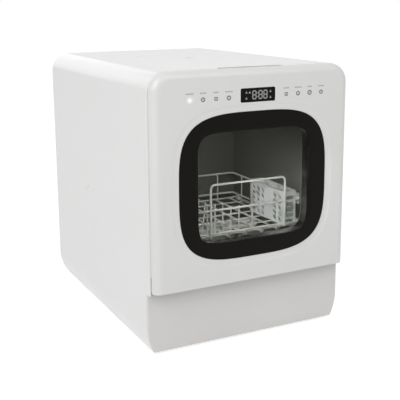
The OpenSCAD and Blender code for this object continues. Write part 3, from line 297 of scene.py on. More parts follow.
class Finishes:
    """Every finish on the machine."""

    WHITE = Finish("white gloss", (0.80, 0.80, 0.795), 0.30, coat=0.35, slot="white_plastic", grain=760.0,
                   bump=0.000012)
    # The door is the same white plastic as WHITE, given a darker colour: painted shade for the door's less
    # lit front.
    DOOR_SHADED_WHITE = Finish("door white", (0.76, 0.76, 0.75), 0.32, coat=0.35, slot="white_plastic",
                        bump=0.000012)
    # The kick panel's matte, slightly warm plastic is its own; its colour is also darker than WHITE as
    # painted shade under the door.
    KICK_SHADED_WHITE = Finish("kick white", (0.72, 0.71, 0.695), 0.42, coat=0.1, slot="white_plastic",
                        bump=0.00003)
    LINER = Finish("liner white", (0.72, 0.73, 0.73), 0.38, slot="white_plastic")
    PALE = Finish("pale grey", (0.60, 0.61, 0.61), 0.42, slot="pale_grey_plastic")
    GREY = Finish("mid grey", (0.27, 0.28, 0.29), 0.5, slot="grey_plastic", bump=0.00004)
    DARK = Finish("charcoal", (0.045, 0.045, 0.048), 0.5, slot="dark_plastic", bump=0.00004)
    TAN = Finish("glass-filled tan", (0.55, 0.43, 0.26), 0.5, slot="tan_plastic", mottle=0.12)
    ORANGE = Finish("float orange", (0.70, 0.26, 0.06), 0.45, slot="orange_plastic")
    BLUE = Finish("valve blue", (0.05, 0.12, 0.38), 0.45, slot="blue_plastic")
    TANK = Finish("tank", (0.62, 0.70, 0.73), 0.28, coat=0.2, slot="clear_plastic")
    BLACK = Finish("black gloss", (0.0042, 0.0036, 0.0028), 0.3, specular=0.09, slot="black_gloss",
                   bump=0.000008)
    SPACER = Finish("pane spacer", (0.30, 0.30, 0.295), 0.16, metallic=1.0, slot="steel", bump=0.0)
    RUBBER = Finish("black rubber", (0.022, 0.022, 0.022), 0.75, slot="black_rubber", bump=0.00008)
    SEAL = Finish("grey rubber", (0.11, 0.11, 0.115), 0.7, slot="grey_rubber", bump=0.00006)
    STEEL = Finish("brushed steel", (0.55, 0.55, 0.545), 0.32, Surface.BRUSHED, metallic=1.0, grain=5200.0,
                   mottle=0.06, slot="steel")
    # The tub is the same steel as STEEL, given a much darker colour: painted shade for the dim inside of the
    # tub.
    TUB_SHADED_STEEL = Finish("tub steel", (0.30, 0.30, 0.28), 0.46, Surface.BRUSHED, metallic=0.7, grain=4200.0,
                 mottle=0.05, slot="steel")
    IRON = Finish("dark steel", (0.10, 0.10, 0.105), 0.42, Surface.BRUSHED, metallic=0.8, grain=2600.0,
                  slot="dark_steel")
    COATED = Finish("white nylon coating", (0.74, 0.75, 0.75), 0.38, slot="white_coating", grain=700.0,
                    bump=0.00004)
    BASKET = Finish("basket white", (0.80, 0.82, 0.84), 0.34, slot="white_plastic")
    OUTER_GLASS = Finish("smoked glass", (0.66, 0.66, 0.63), 0.0, Surface.GLASS, ior=1.12,
                         slot="tinted_glass")
    INNER_GLASS = Finish("clear glass", (0.95, 0.955, 0.95), 0.0, Surface.GLASS, ior=1.12, slot="clear_glass")
    BOARD = Finish("circuit board", (0.02, 0.13, 0.06), 0.4, Surface.BOARD, grain=500.0, mottle=0.35,
                   slot="green_board")
    PRINT = Finish("grey print", (0.085, 0.085, 0.085), 0.5, slot="grey_plastic")
    LABEL = Finish("pale print", (0.33, 0.33, 0.33), 0.5, slot="grey_plastic")
    DIGIT = Finish("display digits", (0.22, 0.22, 0.215), 0.5, Surface.LIT, glow=0.4, slot="white_plastic")
    LAMP = Finish("key light", (1.0, 0.985, 0.92), 0.4, Surface.LIT, glow=0.9, slot="white_plastic")


NODE_FINISH: dict[str, Finish] = {
    "rear_cover": Finishes.WHITE, "base_tray": Finishes.GREY, "front_frame": Finishes.LINER,
    "tub": Finishes.TUB_SHADED_STEEL, "tub_seal": Finishes.SEAL, "sump": Finishes.GREY, "strainer_plate": Finishes.STEEL,
    "filter_cup": Finishes.DARK, "spray_hub_lower": Finishes.GREY, "spray_arm_lower": Finishes.PALE,
    "spray_hub_upper": Finishes.GREY, "spray_arm_upper": Finishes.PALE, "riser_pipe": Finishes.GREY,
    "heating_element": Finishes.IRON, "wash_pump_casing": Finishes.GREY, "wash_pump_motor": Finishes.IRON,
    "wash_impeller": Finishes.TAN, "drain_pump_body": Finishes.DARK, "drain_impeller": Finishes.TAN,
    "drain_hose": Finishes.SEAL, "water_tank": Finishes.TANK, "tank_hose": Finishes.SEAL,
    "float_stem": Finishes.GREY, "tank_float": Finishes.ORANGE, "fill_funnel": Finishes.PALE,
    "roller_studs": Finishes.STEEL, "blower_housing": Finishes.GREY, "blower_wheel": Finishes.DARK,
    "inlet_valve": Finishes.BLUE, "inlet_spigot": Finishes.GREY,
    "drain_spigot": Finishes.GREY, "cord_gland": Finishes.DARK, "power_board": Finishes.BOARD,
    "leak_float": Finishes.PALE, "door_liner": Finishes.LINER, "control_board": Finishes.BOARD,
    "hinge_brackets": Finishes.STEEL, "hinge_pins": Finishes.IRON, "latch_tongue": Finishes.PALE,
    "latch_housing": Finishes.DARK, "switch_plunger": Finishes.ORANGE, "detergent_cup": Finishes.GREY,
    "detergent_lid": Finishes.PALE, "rack_rollers_front": Finishes.PALE, "rack_rollers_rear": Finishes.PALE,
    "rubber_feet": Finishes.RUBBER,
}


@dataclass
class Shape:
    """Points and faces of a piece that is being made, in millimetres."""

    points: list[Point] = field(default_factory=list)
    faces: list[tuple[int, ...]] = field(default_factory=list)

    def loft(self, rings: list[list[Point]], around: bool, along: bool) -> None:
        """Join rings of equal length with quads.

        Args:
            rings: The rings.
            around: True if each ring closes on itself.
            along: True if the last ring joins the first.
        """
        base, count = len(self.points), len(rings[0])
        for ring in rings:
            self.points.extend(ring)
        for j in range(len(rings) if along else len(rings) - 1):
            k = (j + 1) % len(rings)
            for i in range(count if around else count - 1):
                n = (i + 1) % count
                self.faces.append((base + j * count + i, base + j * count + n,
                                   base + k * count + n, base + k * count + i))

    def face(self, ring: list[Point]) -> None:
        """Add one flat face.

        Args:
            ring: Its corners in order.
        """
        base = len(self.points)
        self.points.extend(ring)
        self.faces.append(tuple(range(base, base + len(ring))))

    def prism(self, outline: list[Pair], low: float, high: float, axis: Axis) -> None:
        """Add a closed prism.

        Args:
            outline: Corners in the plane across the axis.
            low: Where it starts.
            high: Where it ends.
            axis: The axis; the outline is in YZ, XZ or XY.
        """
        def at(p: Pair, h: float) -> Point:
            """Return a corner at height h along the axis."""
            return {Axis.X: (h, *p), Axis.Y: (p[0], h, p[1]), Axis.Z: (*p, h)}[axis]
        a, b = [at(p, low) for p in outline], [at(p, high) for p in outline]
        self.loft([a, b], True, False)
        self.face(a[::-1])
        self.face(b)

    def box(self, x0: float, x1: float, y0: float, y1: float, z0: float, z1: float) -> None:
        """Add a plain block between two corners, one piece of a larger moulding.

        Args:
            x0: Low X.
            x1: High X.
            y0: Low Y.
            y1: High Y.
            z0: Low Z.
            z1: High Z.
        """
        self.prism([(x0, y0), (x1, y0), (x1, y1), (x0, y1)], z0, z1, Axis.Z)

    def build(self, name: str, finish: Finish, sharp: float = SHARP, bevel: float = 0.0) -> bpy.types.Object:
        """Turn the points and faces into an object with its finish.

        Args:
            name: The piece's name.
            finish: Its finish.
            sharp: Edges steeper than this many degrees stay sharp.
            bevel: Width of a bevel on the sharp edges, in millimetres.

        Returns:
            The piece.
        """
        mesh = bpy.data.meshes.new(name)
        work = bmesh.new()
        verts = [work.verts.new(Vector(p) * MM) for p in self.points]
        for f in self.faces:
            corners = list(dict.fromkeys(verts[i] for i in f))
            if len(corners) > 2:
                work.faces.new(corners)
        bmesh.ops.remove_doubles(work, verts=work.verts, dist=WELD_NEW)
        bmesh.ops.recalc_face_normals(work, faces=work.faces)
        if bevel:
            edges = [e for e in work.edges
                     if len(e.link_faces) == 2 and e.calc_face_angle(0.0) > math.radians(BEVELLED)]
            bmesh.ops.bevel(work, geom=edges, offset=bevel * MM, segments=2, profile=0.5, affect="EDGES",
                            clamp_overlap=True)
        shade(work, sharp)
        work.to_mesh(mesh)
        work.free()
        obj = add_object(name, mesh)
        mesh.materials.append(finish.material())
        even_normals(obj)
        return obj


def add_object(name: str, data: bpy.types.ID) -> bpy.types.Object:
    """Add an object to the scene, at the origin.

    Args:
        name: Its name.
        data: Its mesh, camera or lamp.

    Returns:
        The object.
    """
    obj = bpy.data.objects.new(name, data)
    bpy.context.scene.collection.objects.link(obj)
    return obj


def shade(work: bmesh.types.BMesh, sharp: float) -> None:
    """Shade a mesh smooth, and keep its steep and its open edges crisp.

    Args:
        work: The mesh.
        sharp: Edges steeper than this many degrees stay sharp.
    """
    for e in work.edges:
        e.smooth = len(e.link_faces) == 2 and e.calc_face_angle(0.0) < math.radians(sharp)
    for f in work.faces:
        f.smooth = True


def place(obj: bpy.types.Object, body: str, finish: Finish, nodes: tuple[str, ...] = ()) -> bpy.types.Object:
    """Hand a finished piece over: it rides on a body and may stand for CAD nodes.

    Args:
        obj: The piece.
        body: The body it rides on.
        finish: Its finish; not used.
        nodes: The nodes it stands for.

    Returns:
        The piece.
    """
    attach(obj, body)
    if nodes:
        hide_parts(*nodes)
    log.info("%s: %d faces", obj.name, len(obj.data.polygons))
    return obj


def cut(obj: bpy.types.Object, shapes: list[Shape]) -> None:
    """Cut closed shapes out of a piece, and shade what is left.

    Args:
        obj: The piece.
        shapes: The shapes.
    """
    cutters = [s.build("cutter", Finishes.WHITE) for s in shapes]
    for tool in cutters:
        mod = obj.modifiers.new("cut", "BOOLEAN")
        mod.operation = "DIFFERENCE"
        mod.solver = "MANIFOLD"
        mod.object = tool
    bake(obj)
    for tool in cutters:
        bpy.data.objects.remove(tool, do_unlink=True)
    work = bmesh.new()
    work.from_mesh(obj.data)
    bmesh.ops.remove_doubles(work, verts=work.verts, dist=WELD_CUT)
    bmesh.ops.dissolve_limit(work, angle_limit=math.radians(FLAT), verts=work.verts, edges=work.edges)
    shade(work, SHARP)
    work.to_mesh(obj.data)
    work.free()
    even_normals(obj)


def even_normals(obj: bpy.types.Object) -> None:
    """Let the large flat faces of a piece set its normals, so that they shade flat.

    Args:
        obj: The piece.
    """
    mod = obj.modifiers.new("normals", "WEIGHTED_NORMAL")
    mod.keep_sharp = True
    bake(obj)


def bake(obj: bpy.types.Object) -> None:
    """Turn a piece's modifiers into its mesh.

    Args:
        obj: The piece.
    """
    graph = bpy.context.evaluated_depsgraph_get()
    mesh = bpy.data.meshes.new_from_object(obj.evaluated_get(graph), depsgraph=graph)
    obj.modifiers.clear()
    obj.data = mesh


def arc(cx: float, cy: float, r: float, a0: float, a1: float, steps: int) -> list[Pair]:
    """Find points along an arc.

    Args:
        cx: Centre.
        cy: Centre.
        r: Radius.
        a0: First angle, in degrees.
        a1: Last angle.
        steps: Number of steps.

    Returns:
        The points, one more than the steps.
    """
    out = []
    for i in range(steps + 1):
        a = math.radians(a0 + (a1 - a0) * i / steps)
        out.append((cx + r * math.cos(a), cy + r * math.sin(a)))
    return out


def rounded(x0: float, x1: float, y0: float, y1: float, r: float, steps: int = 6) -> list[Pair]:
    """Find the outline of a rectangle with round corners.

    Args:
        x0: Low X.
        x1: High X.
        y0: Low Y.
        y1: High Y.
        r: Corner radius.
        steps: Steps at each corner.

    Returns:
        The outline, anticlockwise.
    """
    return (arc(x1 - r, y0 + r, r, -90, 0, steps) + arc(x1 - r, y1 - r, r, 0, 90, steps)
            + arc(x0 + r, y1 - r, r, 90, 180, steps) + arc(x0 + r, y0 + r, r, 180, 270, steps))


def superellipse(a: float, b: float, power: float, t: float) -> Pair:
    """Find a point of an outline between a rectangle and an ellipse, about the origin.

    Args:
        a: Half width.
        b: Half height.
        power: 2 for an ellipse, more for squarer.
        t: Its direction, in radians.

    Returns:
        The point.
    """
    c, s = math.cos(t), math.sin(t)
    r = (abs(c / a) ** power + abs(s / b) ** power) ** (-1 / power)
    return r * c, r * s


def squircle(a: float, b: float, zc: float, power: float) -> list[Pair]:
    """Find such an outline round the window's middle.

    Args:
        a: Half width.
        b: Half height.
        zc: Height of its centre.
        power: 2 for an ellipse, more for squarer.

    Returns:
        The outline, with 216 points.
    """
    count = 216
    ring = (superellipse(a, b, power, 2 * math.pi * i / count) for i in range(count))
    return [(x, zc + z) for x, z in ring]


def rolled(r: float, front: float, step: int) -> list[Pair]:
    """Find the stations of a rounded front edge, from the front to the side.

    Args:
        r: Its radius.
        front: Depth of the front.
        step: Degrees from one station to the next.

    Returns:
        How far each station is drawn in, and its depth.
    """
    turns = [math.radians(a) for a in range(0, 91, step)]
    return [(r * (1 - math.sin(a)), front + r * (1 - math.cos(a))) for a in turns]


@dataclass
class Cabinet:
    """The cabinet: the wrap of its sides and top, the fill cover and the kick panel.

    Names ending in _y, and back_in, are places along Y. Heights count from the floor. A cutter reaches
    further than what it cuts by past.
    """

    half_w: float = 170.0
    body_h: float = 426.0
    seam_y: float = -217.0
    back_in: float = 228.0
    rear_y: float = 231.0
    corner_r: float = 32.0
    foot_h: float = 4.0
    foot_inset: float = 10.5
    foot_rise: float = 40.0
    wall: float = 2.5
    kick_y: float = -208.0
    kick_t: float = 3.0
    kick_top: float = 98.0
    grip_w: float = 110.0
    grip_d: float = 9.5
    grip_r: float = 7.5
    fill_hw: float = 62.0
    fill_d: float = 96.0
    fill_y: float = 38.0
    fill_r: float = 20.0
    fill_gap: float = 0.4
    notch_r: float = 12.0
    notch_out: float = 6.0
    edge_r: float = 2.2
    flange_w: float = 3.0
    flange_t: float = 1.3
    swing_top: float = 127.0
    kick_r: float = 2.6
    past: float = 5.0

    def side(self, inset: float, z: float) -> float:
        """Find the half width, which shrinks in a sweep towards the feet.

        Args:
            inset: How far it is drawn in.
            z: Height.

        Returns:
            The half width.
        """
        bend = self.foot_h + self.foot_rise
        sweep = (self.foot_rise ** 2 + self.foot_inset ** 2) / (2 * self.foot_inset)
        if z >= bend:
            return self.half_w - inset
        return self.half_w - sweep + math.sqrt((sweep - inset) ** 2 - (bend - z) ** 2)

    def outline(self, inset: float, z0: float, z1: float | None = None) -> list[Pair]:
        """Find the cross-section from the lower right round the top to the lower left.

        Args:
            inset: How far it is drawn in.
            z0: Where it starts.
            z1: Where it ends, if below the corners.

        Returns:
            The cross-section.
        """
        bend, shoulder = self.foot_h + self.foot_rise, self.body_h - self.corner_r
        levels = [z0 + (bend - z0) * i / 14 for i in range(15)]
        right = [(self.side(inset, z), z) for z in levels]
        if z1 is None:
            right += [(self.half_w - inset, bend + (shoulder - bend) * i / 6) for i in range(1, 6)]
            right += arc(self.half_w - self.corner_r, shoulder, self.corner_r - inset, 0, 90, 24)
        else:
            right += [(self.half_w - inset, z1)]
        return right + [(-x, z) for x, z in reversed(right)]

    def shell(self) -> None:
        """Make the wrap of both sides and the top, with room for the kick panel, grip, cover and door."""
        shape = Shape()
        back, behind = self.back_in - 0.1, self.seam_y + self.flange_t
        flange = self.wall + self.flange_w
        stations = rolled(self.edge_r, self.seam_y, 18)
        stations += [(0.0, self.back_in - 0.5), (0.35, back), (self.wall, back), (self.wall, behind),
                     (flange, behind), (flange, self.seam_y)]
        rings = [[(x, y, z) for x, z in self.outline(o, self.foot_h)] for o, y in stations]
        shape.loft(rings, False, True)
        shape.face([r[0] for r in rings])
        shape.face([r[-1] for r in reversed(rings)])
        obj = shape.build("outer_wrap", Finishes.WHITE)
        step, grip, fill, swing = Shape(), Shape(), Shape(), Shape()
        low, high, gap, past = self.body_h - 6, self.body_h + 4, self.fill_gap, self.past
        clear = self.half_w + 2 * past
        step.box(-clear, clear, self.seam_y - past, self.kick_y + self.kick_t, -past, self.kick_top + 0.3)
        grip.prism(rounded(-self.grip_w / 2, self.grip_w / 2, self.seam_y - 2 * past,
                           self.seam_y + self.grip_d, self.grip_r, 10), low, high, Axis.Z)
        fill.prism(rounded(-self.fill_hw - gap, self.fill_hw + gap, self.fill_y - self.fill_d / 2 - gap,
                           self.fill_y + self.fill_d / 2 + gap, self.fill_r, 14), low, high, Axis.Z)
        swing.box(self.wall - self.half_w, self.half_w - self.wall, self.seam_y - past, self.seam_y + past,
                  -past, self.swing_top)
        cut(obj, [step, grip, fill, swing])
        place(obj, "cabinet", Finishes.WHITE, ("outer_shell",))

    def cover(self) -> None:
        """Make the lift-off cover of the fill opening, with soft edges and a fingertip notch."""
        shape, notch = Shape(), Shape()
        y0, y1, top = self.fill_y - self.fill_d / 2, self.fill_y + self.fill_d / 2, self.body_h
        profile = [(4.0, 2.4), (4.0, 8.0), (2.0, 8.0), (2.0, 2.4), (0.0, 2.4), (0.0, 0.8), (0.12, 0.4),
                   (0.4, 0.12), (0.8, 0.0)]
        rings = [[(x, y, top - drop) for x, y in rounded(-self.fill_hw + o, self.fill_hw - o, y0 + o, y1 - o,
                                                         self.fill_r - o, 14)] for o, drop in profile]
        shape.loft(rings, True, False)
        shape.face(rings[0][::-1])
        shape.face(rings[-1])
        notch.prism(arc(0, y0 - self.notch_out, self.notch_r, 0, 354, 59), top - 9, top + 1, Axis.Z)
        obj = shape.build("fill_lid", Finishes.WHITE, 40)
        cut(obj, [notch])
        place(obj, "top_cover", Finishes.WHITE, ("fill_cover",))

    def kick(self) -> None:
        """Make the panel under the door, with rounded front edges."""
        shape = Shape()
        z0, z1 = self.foot_h + 0.5, self.kick_top
        stations = rolled(self.kick_r, self.kick_y, 15) + [(0.0, self.kick_y + self.kick_t)]
        rings = [[(x, y, min(z, z1 - o * 0.6)) for x, z in self.outline(o, z0 + o * 0.5, z1)]
                 for o, y in stations]
        shape.loft(rings, True, False)
        shape.face(rings[0])
        shape.face(rings[-1][::-1])
        place(shape.build("kick_front", Finishes.KICK_SHADED_WHITE, 25), "cabinet", Finishes.KICK_SHADED_WHITE,
              ("kick_panel",))


@dataclass
class Door:
    """The drop-down door: outer panel, window frame, panes, display and keys.

    The display, its signs and the keys are measured from the strip's middle, which is strip_x off the door's.
    """

    cabinet: Cabinet
    inset: float = 3.0
    face_y: float = -230.0
    edge_r: float = 12.0
    z0: float = 102.0
    skirt_y: float = -217.3
    skin: float = 2.5
    bezel_a: float = 126.0
    bezel_b: float = 111.0
    glass_a: float = 95.0
    glass_b: float = 83.0
    frame_power: float = 3.6
    glass_power: float = 8.0
    window_z: float = 251.0
    display_w: float = 59.0
    display_h: float = 21.0
    control_z: float = 386.0
    strip_x: float = 3.4
    key_x0: float = 48.8
    key_pitch: float = 20.9
    keys_a_side: int = 4
    lit_key: int = 3
    lip: float = 1.5
    top_gap: float = 0.5
    notch_x: float = 146.0
    notch_hw: float = 3.0
    front_pane_y: float = -228.2
    rear_pane_y: float = -208.7
    pane_t: float = 3.2
    pane_lap: float = 2.7
    pane_edge: float = 0.35
    digit_w: float = 5.6
    digit_h: float = 11.6
    digit_bar: float = 1.25
    digit_xs: tuple[float, ...] = (-6.4, 3.9, 12.4)
    colon_z: float = 2.6
    signs: tuple[Pair, ...] = ((-19.8, 4.2), (-14.2, 4.2), (21.0, 4.2), (-19.8, -4.4), (21.0, -4.4))
    sign_r: float = 3.7
    tick_pitch: float = 2.1
    tick_hw: float = 0.75
    tick_zs: Pair = (8.3, 10.1)

    def outline(self, inset: float, lift: float) -> list[Pair]:
        """Find the outline of the panel, clockwise from the middle of the top as seen from the front.

        Args:
            inset: How far sides and top are drawn in.
            lift: How far the lower edge is drawn in.

        Returns:
            The outline.
        """
        hw = self.cabinet.half_w - self.inset - inset
        top, low, lip = self.cabinet.body_h - self.top_gap - inset, self.z0 + lift, self.lip
        r = self.cabinet.corner_r - self.inset - inset
        half = [((hw - r) * i / 10, top) for i in range(10)]
        half += [(x, z) for x, z in reversed(arc(hw - r, top - r, r, 0, 90, 20))]
        half += [(hw, top - r + (low + lip - top + r) * i / 24) for i in range(1, 24)]
        half += [(hw, low + lip), (hw - 0.3 * lip, low + 0.3 * lip), (hw - lip, low)]
        half += [((hw - lip) * (1 - i / 14), low) for i in range(1, 15)]
        return half + [(-x, z) for x, z in reversed(half[1:-1])]

    def _opening(self, grow: float, like: list[Pair]) -> list[Pair]:
        """Find the window frame's outline, grown, with a point for each of another outline.

        Args:
            grow: How far it is grown.
            like: The other outline.

        Returns:
            The grown outline.
        """
        a, b, middle = self.bezel_a + grow, self.bezel_b + grow, self.window_z
        ring = (superellipse(a, b, self.frame_power, math.atan2(z - middle, x)) for x, z in like)
        return [(x, middle + z) for x, z in ring]

    def panel(self) -> None:
        """Make the outer panel, with its rounded edges and the shallow dish round the window."""
        shape = Shape()
        base = self.outline(self.edge_r, 1.0)
        rings: list[list[Point]] = []

        def add(outline: list[Pair], y: float) -> None:
            """Add a ring at depth y."""
            rings.append([(x, y, z) for x, z in outline])

        y = self.face_y
        add(self._opening(0.25, base), y + self.skin)
        add(self._opening(0.25, base), y + 0.9)
        add(self._opening(0.7, base), y + 0.55)
        for grow, depth in ((7.5, 0.5), (8.6, 0.44), (9.6, 0.25), (10.6, 0.06), (11.8, 0.0), (14.0, 0.0)):
            add(self._opening(grow, base), y + depth)
        for a in range(0, 91, 9):
            s, c = math.sin(math.radians(a)), math.cos(math.radians(a))
            add(self.outline(self.edge_r * (1 - s), 1.0 * (1 - s)), y + self.edge_r * (1 - c))
        add(self.outline(0.0, 0.0), self.skirt_y - 0.3)
        add(self.outline(0.3, 0.2), self.skirt_y)
        add(self.outline(self.skin, self.skin), self.skirt_y)
        for a in range(90, -1, -15):
            s, c = math.sin(math.radians(a)), math.cos(math.radians(a))
            r = self.edge_r - self.skin
            add(self.outline(self.skin + r * (1 - s), self.skin), y + self.skin + r * (1 - c))
        shape.loft(rings, True, True)
        obj = shape.build("door_skin", Finishes.DOOR_SHADED_WHITE, 40)
        notches, hw, low = [Shape(), Shape()], self.notch_hw, self.z0
        for x, notch in zip((-self.notch_x, self.notch_x), notches):
            notch.box(x - hw, x + hw, y + self.skin + 0.02, self.skirt_y + 3, low - 3, low + 5)
        cut(obj, notches)
        place(obj, "door", Finishes.DOOR_SHADED_WHITE, ("door_panel",))

    def bezel(self) -> None:
        """Make the black window frame, crowned towards the glass."""
        shape = Shape()
        width = self.bezel_a - self.glass_a
        profile = [(width, -227.4), (width, -229.0), (width - 0.3, -229.5), (width - 1.0, -229.75),
                   (width - 5.0, -230.05), (width - 12.0, -230.4), (width - 19.0, -230.75), (6.5, -230.95),
                   (3.6, -230.95), (2.0, -230.7), (0.9, -230.1), (0.25, -229.4), (0.0, -228.9), (0.0, -228.5),
                   (3.0, -228.4), (3.0, -222.0), (4.0, -222.0), (4.2, -225.2), (width + 3.0, -225.4),
                   (width + 4.0, -227.2)]
        inner = squircle(self.glass_a, self.glass_b, self.window_z, self.glass_power)
        rings = []
        for u, y in profile:
            share, spread = min(u / width, 1.0), max(u - width, 0.0)
            outer = squircle(self.bezel_a + spread, self.bezel_b + spread, self.window_z, self.frame_power)
            rings.append([(a[0] + (b[0] - a[0]) * share, y, a[1] + (b[1] - a[1]) * share)
                          for a, b in zip(inner, outer)])
        shape.loft(rings, True, True)
        place(shape.build("window_frame", Finishes.BLACK, 50), "door", Finishes.BLACK, ("window_bezel",))

    def spacer(self) -> None:
        """Make the polished sleeve that lines the window between the two panes."""
        profile = ((2.8, -224.9), (1.2, -224.9), (0.9, -224.6), (0.9, -209.1), (1.2, -208.8), (2.8, -208.8))
        shape = Shape()
        shape.loft([self._sight(o, y) for o, y in profile], True, True)
        place(shape.build("pane_spacer", Finishes.SPACER, 50), "door", Finishes.SPACER)

    def _sight(self, grow: float, y: float) -> list[Point]:
        """Find the outline of the part that is seen through, grown, at a depth.

        Args:
            grow: How far it is grown.
            y: Its depth.

        Returns:
            The outline.
        """
        outline = squircle(self.glass_a + grow, self.glass_b + grow, self.window_z, self.glass_power)
        return [(x, y, z) for x, z in outline]

    def panes(self) -> None:
        """Make the two glass panes."""
        self._pane("front_pane", "outer_glass", self.front_pane_y, Finishes.OUTER_GLASS)
        self._pane("rear_pane", "inner_glass", self.rear_pane_y, Finishes.INNER_GLASS)

    def _pane(self, name: str, node: str, y: float, finish: Finish) -> None:
        """Make one glass pane with ground edges.

        Args:
            name: The piece's name.
            node: The node it stands for.
            y: Its front.
            finish: Its finish.
        """
        shape = Shape()
        edge, back = self.pane_edge, y + self.pane_t
        rings = [self._sight(self.pane_lap - o, d)
                 for o, d in ((edge, y), (0.0, y + edge), (0.0, back - edge), (edge, back))]
        shape.loft(rings, True, False)
        shape.face(rings[0])
        shape.face(rings[-1][::-1])
        place(shape.build(name, finish, 30), "door", finish, (node,))

    def display(self) -> None:
        """Make the display window and what it shows."""
        shape = Shape()
        y, w, h = self.face_y, self.display_w / 2, self.display_h / 2
        rings = [[(x + self.strip_x, d, z)
                  for x, z in rounded(-w + o, w - o, self.control_z - h + o, self.control_z + h - o, 2.4 - o)]
                 for o, d in ((0.5, y - 0.22), (0.15, y - 0.12), (0.0, y + 0.1), (0.0, y + 3.0))]
        shape.loft(rings, True, False)
        shape.face(rings[0])
        shape.face(rings[-1][::-1])
        place(shape.build("display_lens", Finishes.BLACK, 50), "door", Finishes.BLACK, ("display_window",))
        digits = Shape()
        front, mid = y - 0.25, self.strip_x
        for x in self.digit_xs:
            self._digit(digits, mid + x, front)
        for z in (self.control_z - self.colon_z, self.control_z + self.colon_z):
            digits.prism(rounded(mid - 1.9, mid - 0.5, z - 0.7, z + 0.7, 0.3, 2), front, front + PRINT_T,
                         Axis.Y)
        for x, z in self.signs:
            self._sign(digits, mid + x, front, z)
        place(digits.build("display_digits", Finishes.DIGIT, 30), "door", Finishes.DIGIT)

    def _digit(self, shape: Shape, x: float, y: float) -> None:
        """Add a seven-segment digit with all its bars lit.

        Args:
            shape: Where it goes.
            x: Its middle.
            y: Its front.
        """
        w, h, t = self.digit_w, self.digit_h, self.digit_bar
        lying = [(0, dz, w - t, t) for dz in (h / 2, 0, -h / 2)]
        upright = [(dx, dz, t, h / 2 - t) for dx in (w / 2, -w / 2) for dz in (h / 4, -h / 4)]
        for dx, dz, bw, bh in lying + upright:
            hw, hh, mx, mz = bw / 2 + t * 0.2, bh / 2 + t * 0.2, x + dx, self.control_z + dz
            shape.prism(rounded(mx - hw, mx + hw, mz - hh, mz + hh, 0.3, 2), y, y + PRINT_T, Axis.Y)

    def _sign(self, shape: Shape, x: float, y: float, z: float) -> None:
        """Add a small plain sign beside the digits.

        Args:
            shape: Where it goes.
            x: Its middle.
            y: Its front.
            z: Its height above the display's middle.
        """
        cz = self.control_z + z
        shape.prism([(x - 1.9, cz - 1.5), (x + 1.9, cz - 1.5), (x, cz + 1.9)], y, y + PRINT_T, Axis.Y)

    def keys(self) -> None:
        """Make the printed signs of the touch keys, each with a row of plain ticks above it."""
        marks, ticks = Shape(), Shape()
        y = self.face_y - 0.06
        z = self.control_z - 2
        low, high = (z + v for v in self.tick_zs)
        for side in (-1, 1):
            for i in range(self.keys_a_side):
                x = self.strip_x + side * (self.key_x0 + i * self.key_pitch)
                if side < 0 and i == self.lit_key:
                    self._lamp(x, z)
                else:
                    self._ring(marks, x, z, y, 3 + (i * 2 + side) % 5)
                count = 4 + (i + side) % 3
                for k in range(count):
                    middle = x + (k - (count - 1) / 2) * self.tick_pitch
                    ticks.prism(rounded(middle - self.tick_hw, middle + self.tick_hw, low, high, 0.4, 2), y,
                                y + PRINT_T, Axis.Y)
        place(marks.build("key_signs", Finishes.PRINT, 30), "door", Finishes.PRINT)
        place(ticks.build("key_ticks", Finishes.LABEL, 30), "door", Finishes.LABEL)

    def _lamp(self, x: float, z: float) -> None:
        """Make the lit key: a small lamp and the warm glow round it.

        Args:
            x: Its middle.
            z: Its height.
        """
        y, white = self.face_y, Finishes.DOOR_SHADED_WHITE
        lamp, glow = Shape(), Shape()
        dome = [[(p, d, q) for p, q in arc(x, z, r, 0, 350, 35)]
                for r, d in ((0.4, y - 0.12), (0.8, y - 0.1), (1.05, y - 0.05), (1.1, y + 0.1))]
        lamp.loft(dome, True, False)
        lamp.face(dome[0])
        lamp.face(dome[-1][::-1])
        # The glow's moulding takes the door's white, with its painted shade.
        finish = Halo("key glow", white.color, white.roughness, slot=white.slot, middle=(x, y, z))
        disc = ((1.1, y - 0.03), (4.0, y - 0.03), (7.0, y - 0.02), (7.4, y + 0.05), (1.1, y + 0.05))
        glow.loft([[(p, d, q) for p, q in arc(x, z, r, 0, 354, 59)] for r, d in disc], True, True)
        place(lamp.build("key_lamp", Finishes.LAMP, 50), "door", Finishes.LAMP)
        place(glow.build("key_glow", finish, 50), "door", finish)

    def _ring(self, shape: Shape, x: float, z: float, y: float, sides: int) -> None:
        """Add a ring sign with a dot.

        Args:
            shape: Where it goes.
            x: Its middle.
            z: Its height.
            y: Its front.
            sides: Corners of its outline, from 4, where 3 stands for a circle.
        """
        count = 24 if sides == 3 else sides
        turn = 45 if sides == 4 else 90
        outer = arc(x, z, self.sign_r, turn, turn + 360, count)[:-1]
        inner = [(x + (p - x) * 0.6, z + (q - z) * 0.6) for p, q in outer]
        rings = [[(p, d, q) for p, q in ring]
                 for ring, d in ((outer, y), (inner, y), (inner, y + PRINT_T), (outer, y + PRINT_T))]
        shape.loft(rings, True, True)
        shape.prism(arc(x, z, 0.8, 0, 330, 11), y, y + PRINT_T, Axis.Y)


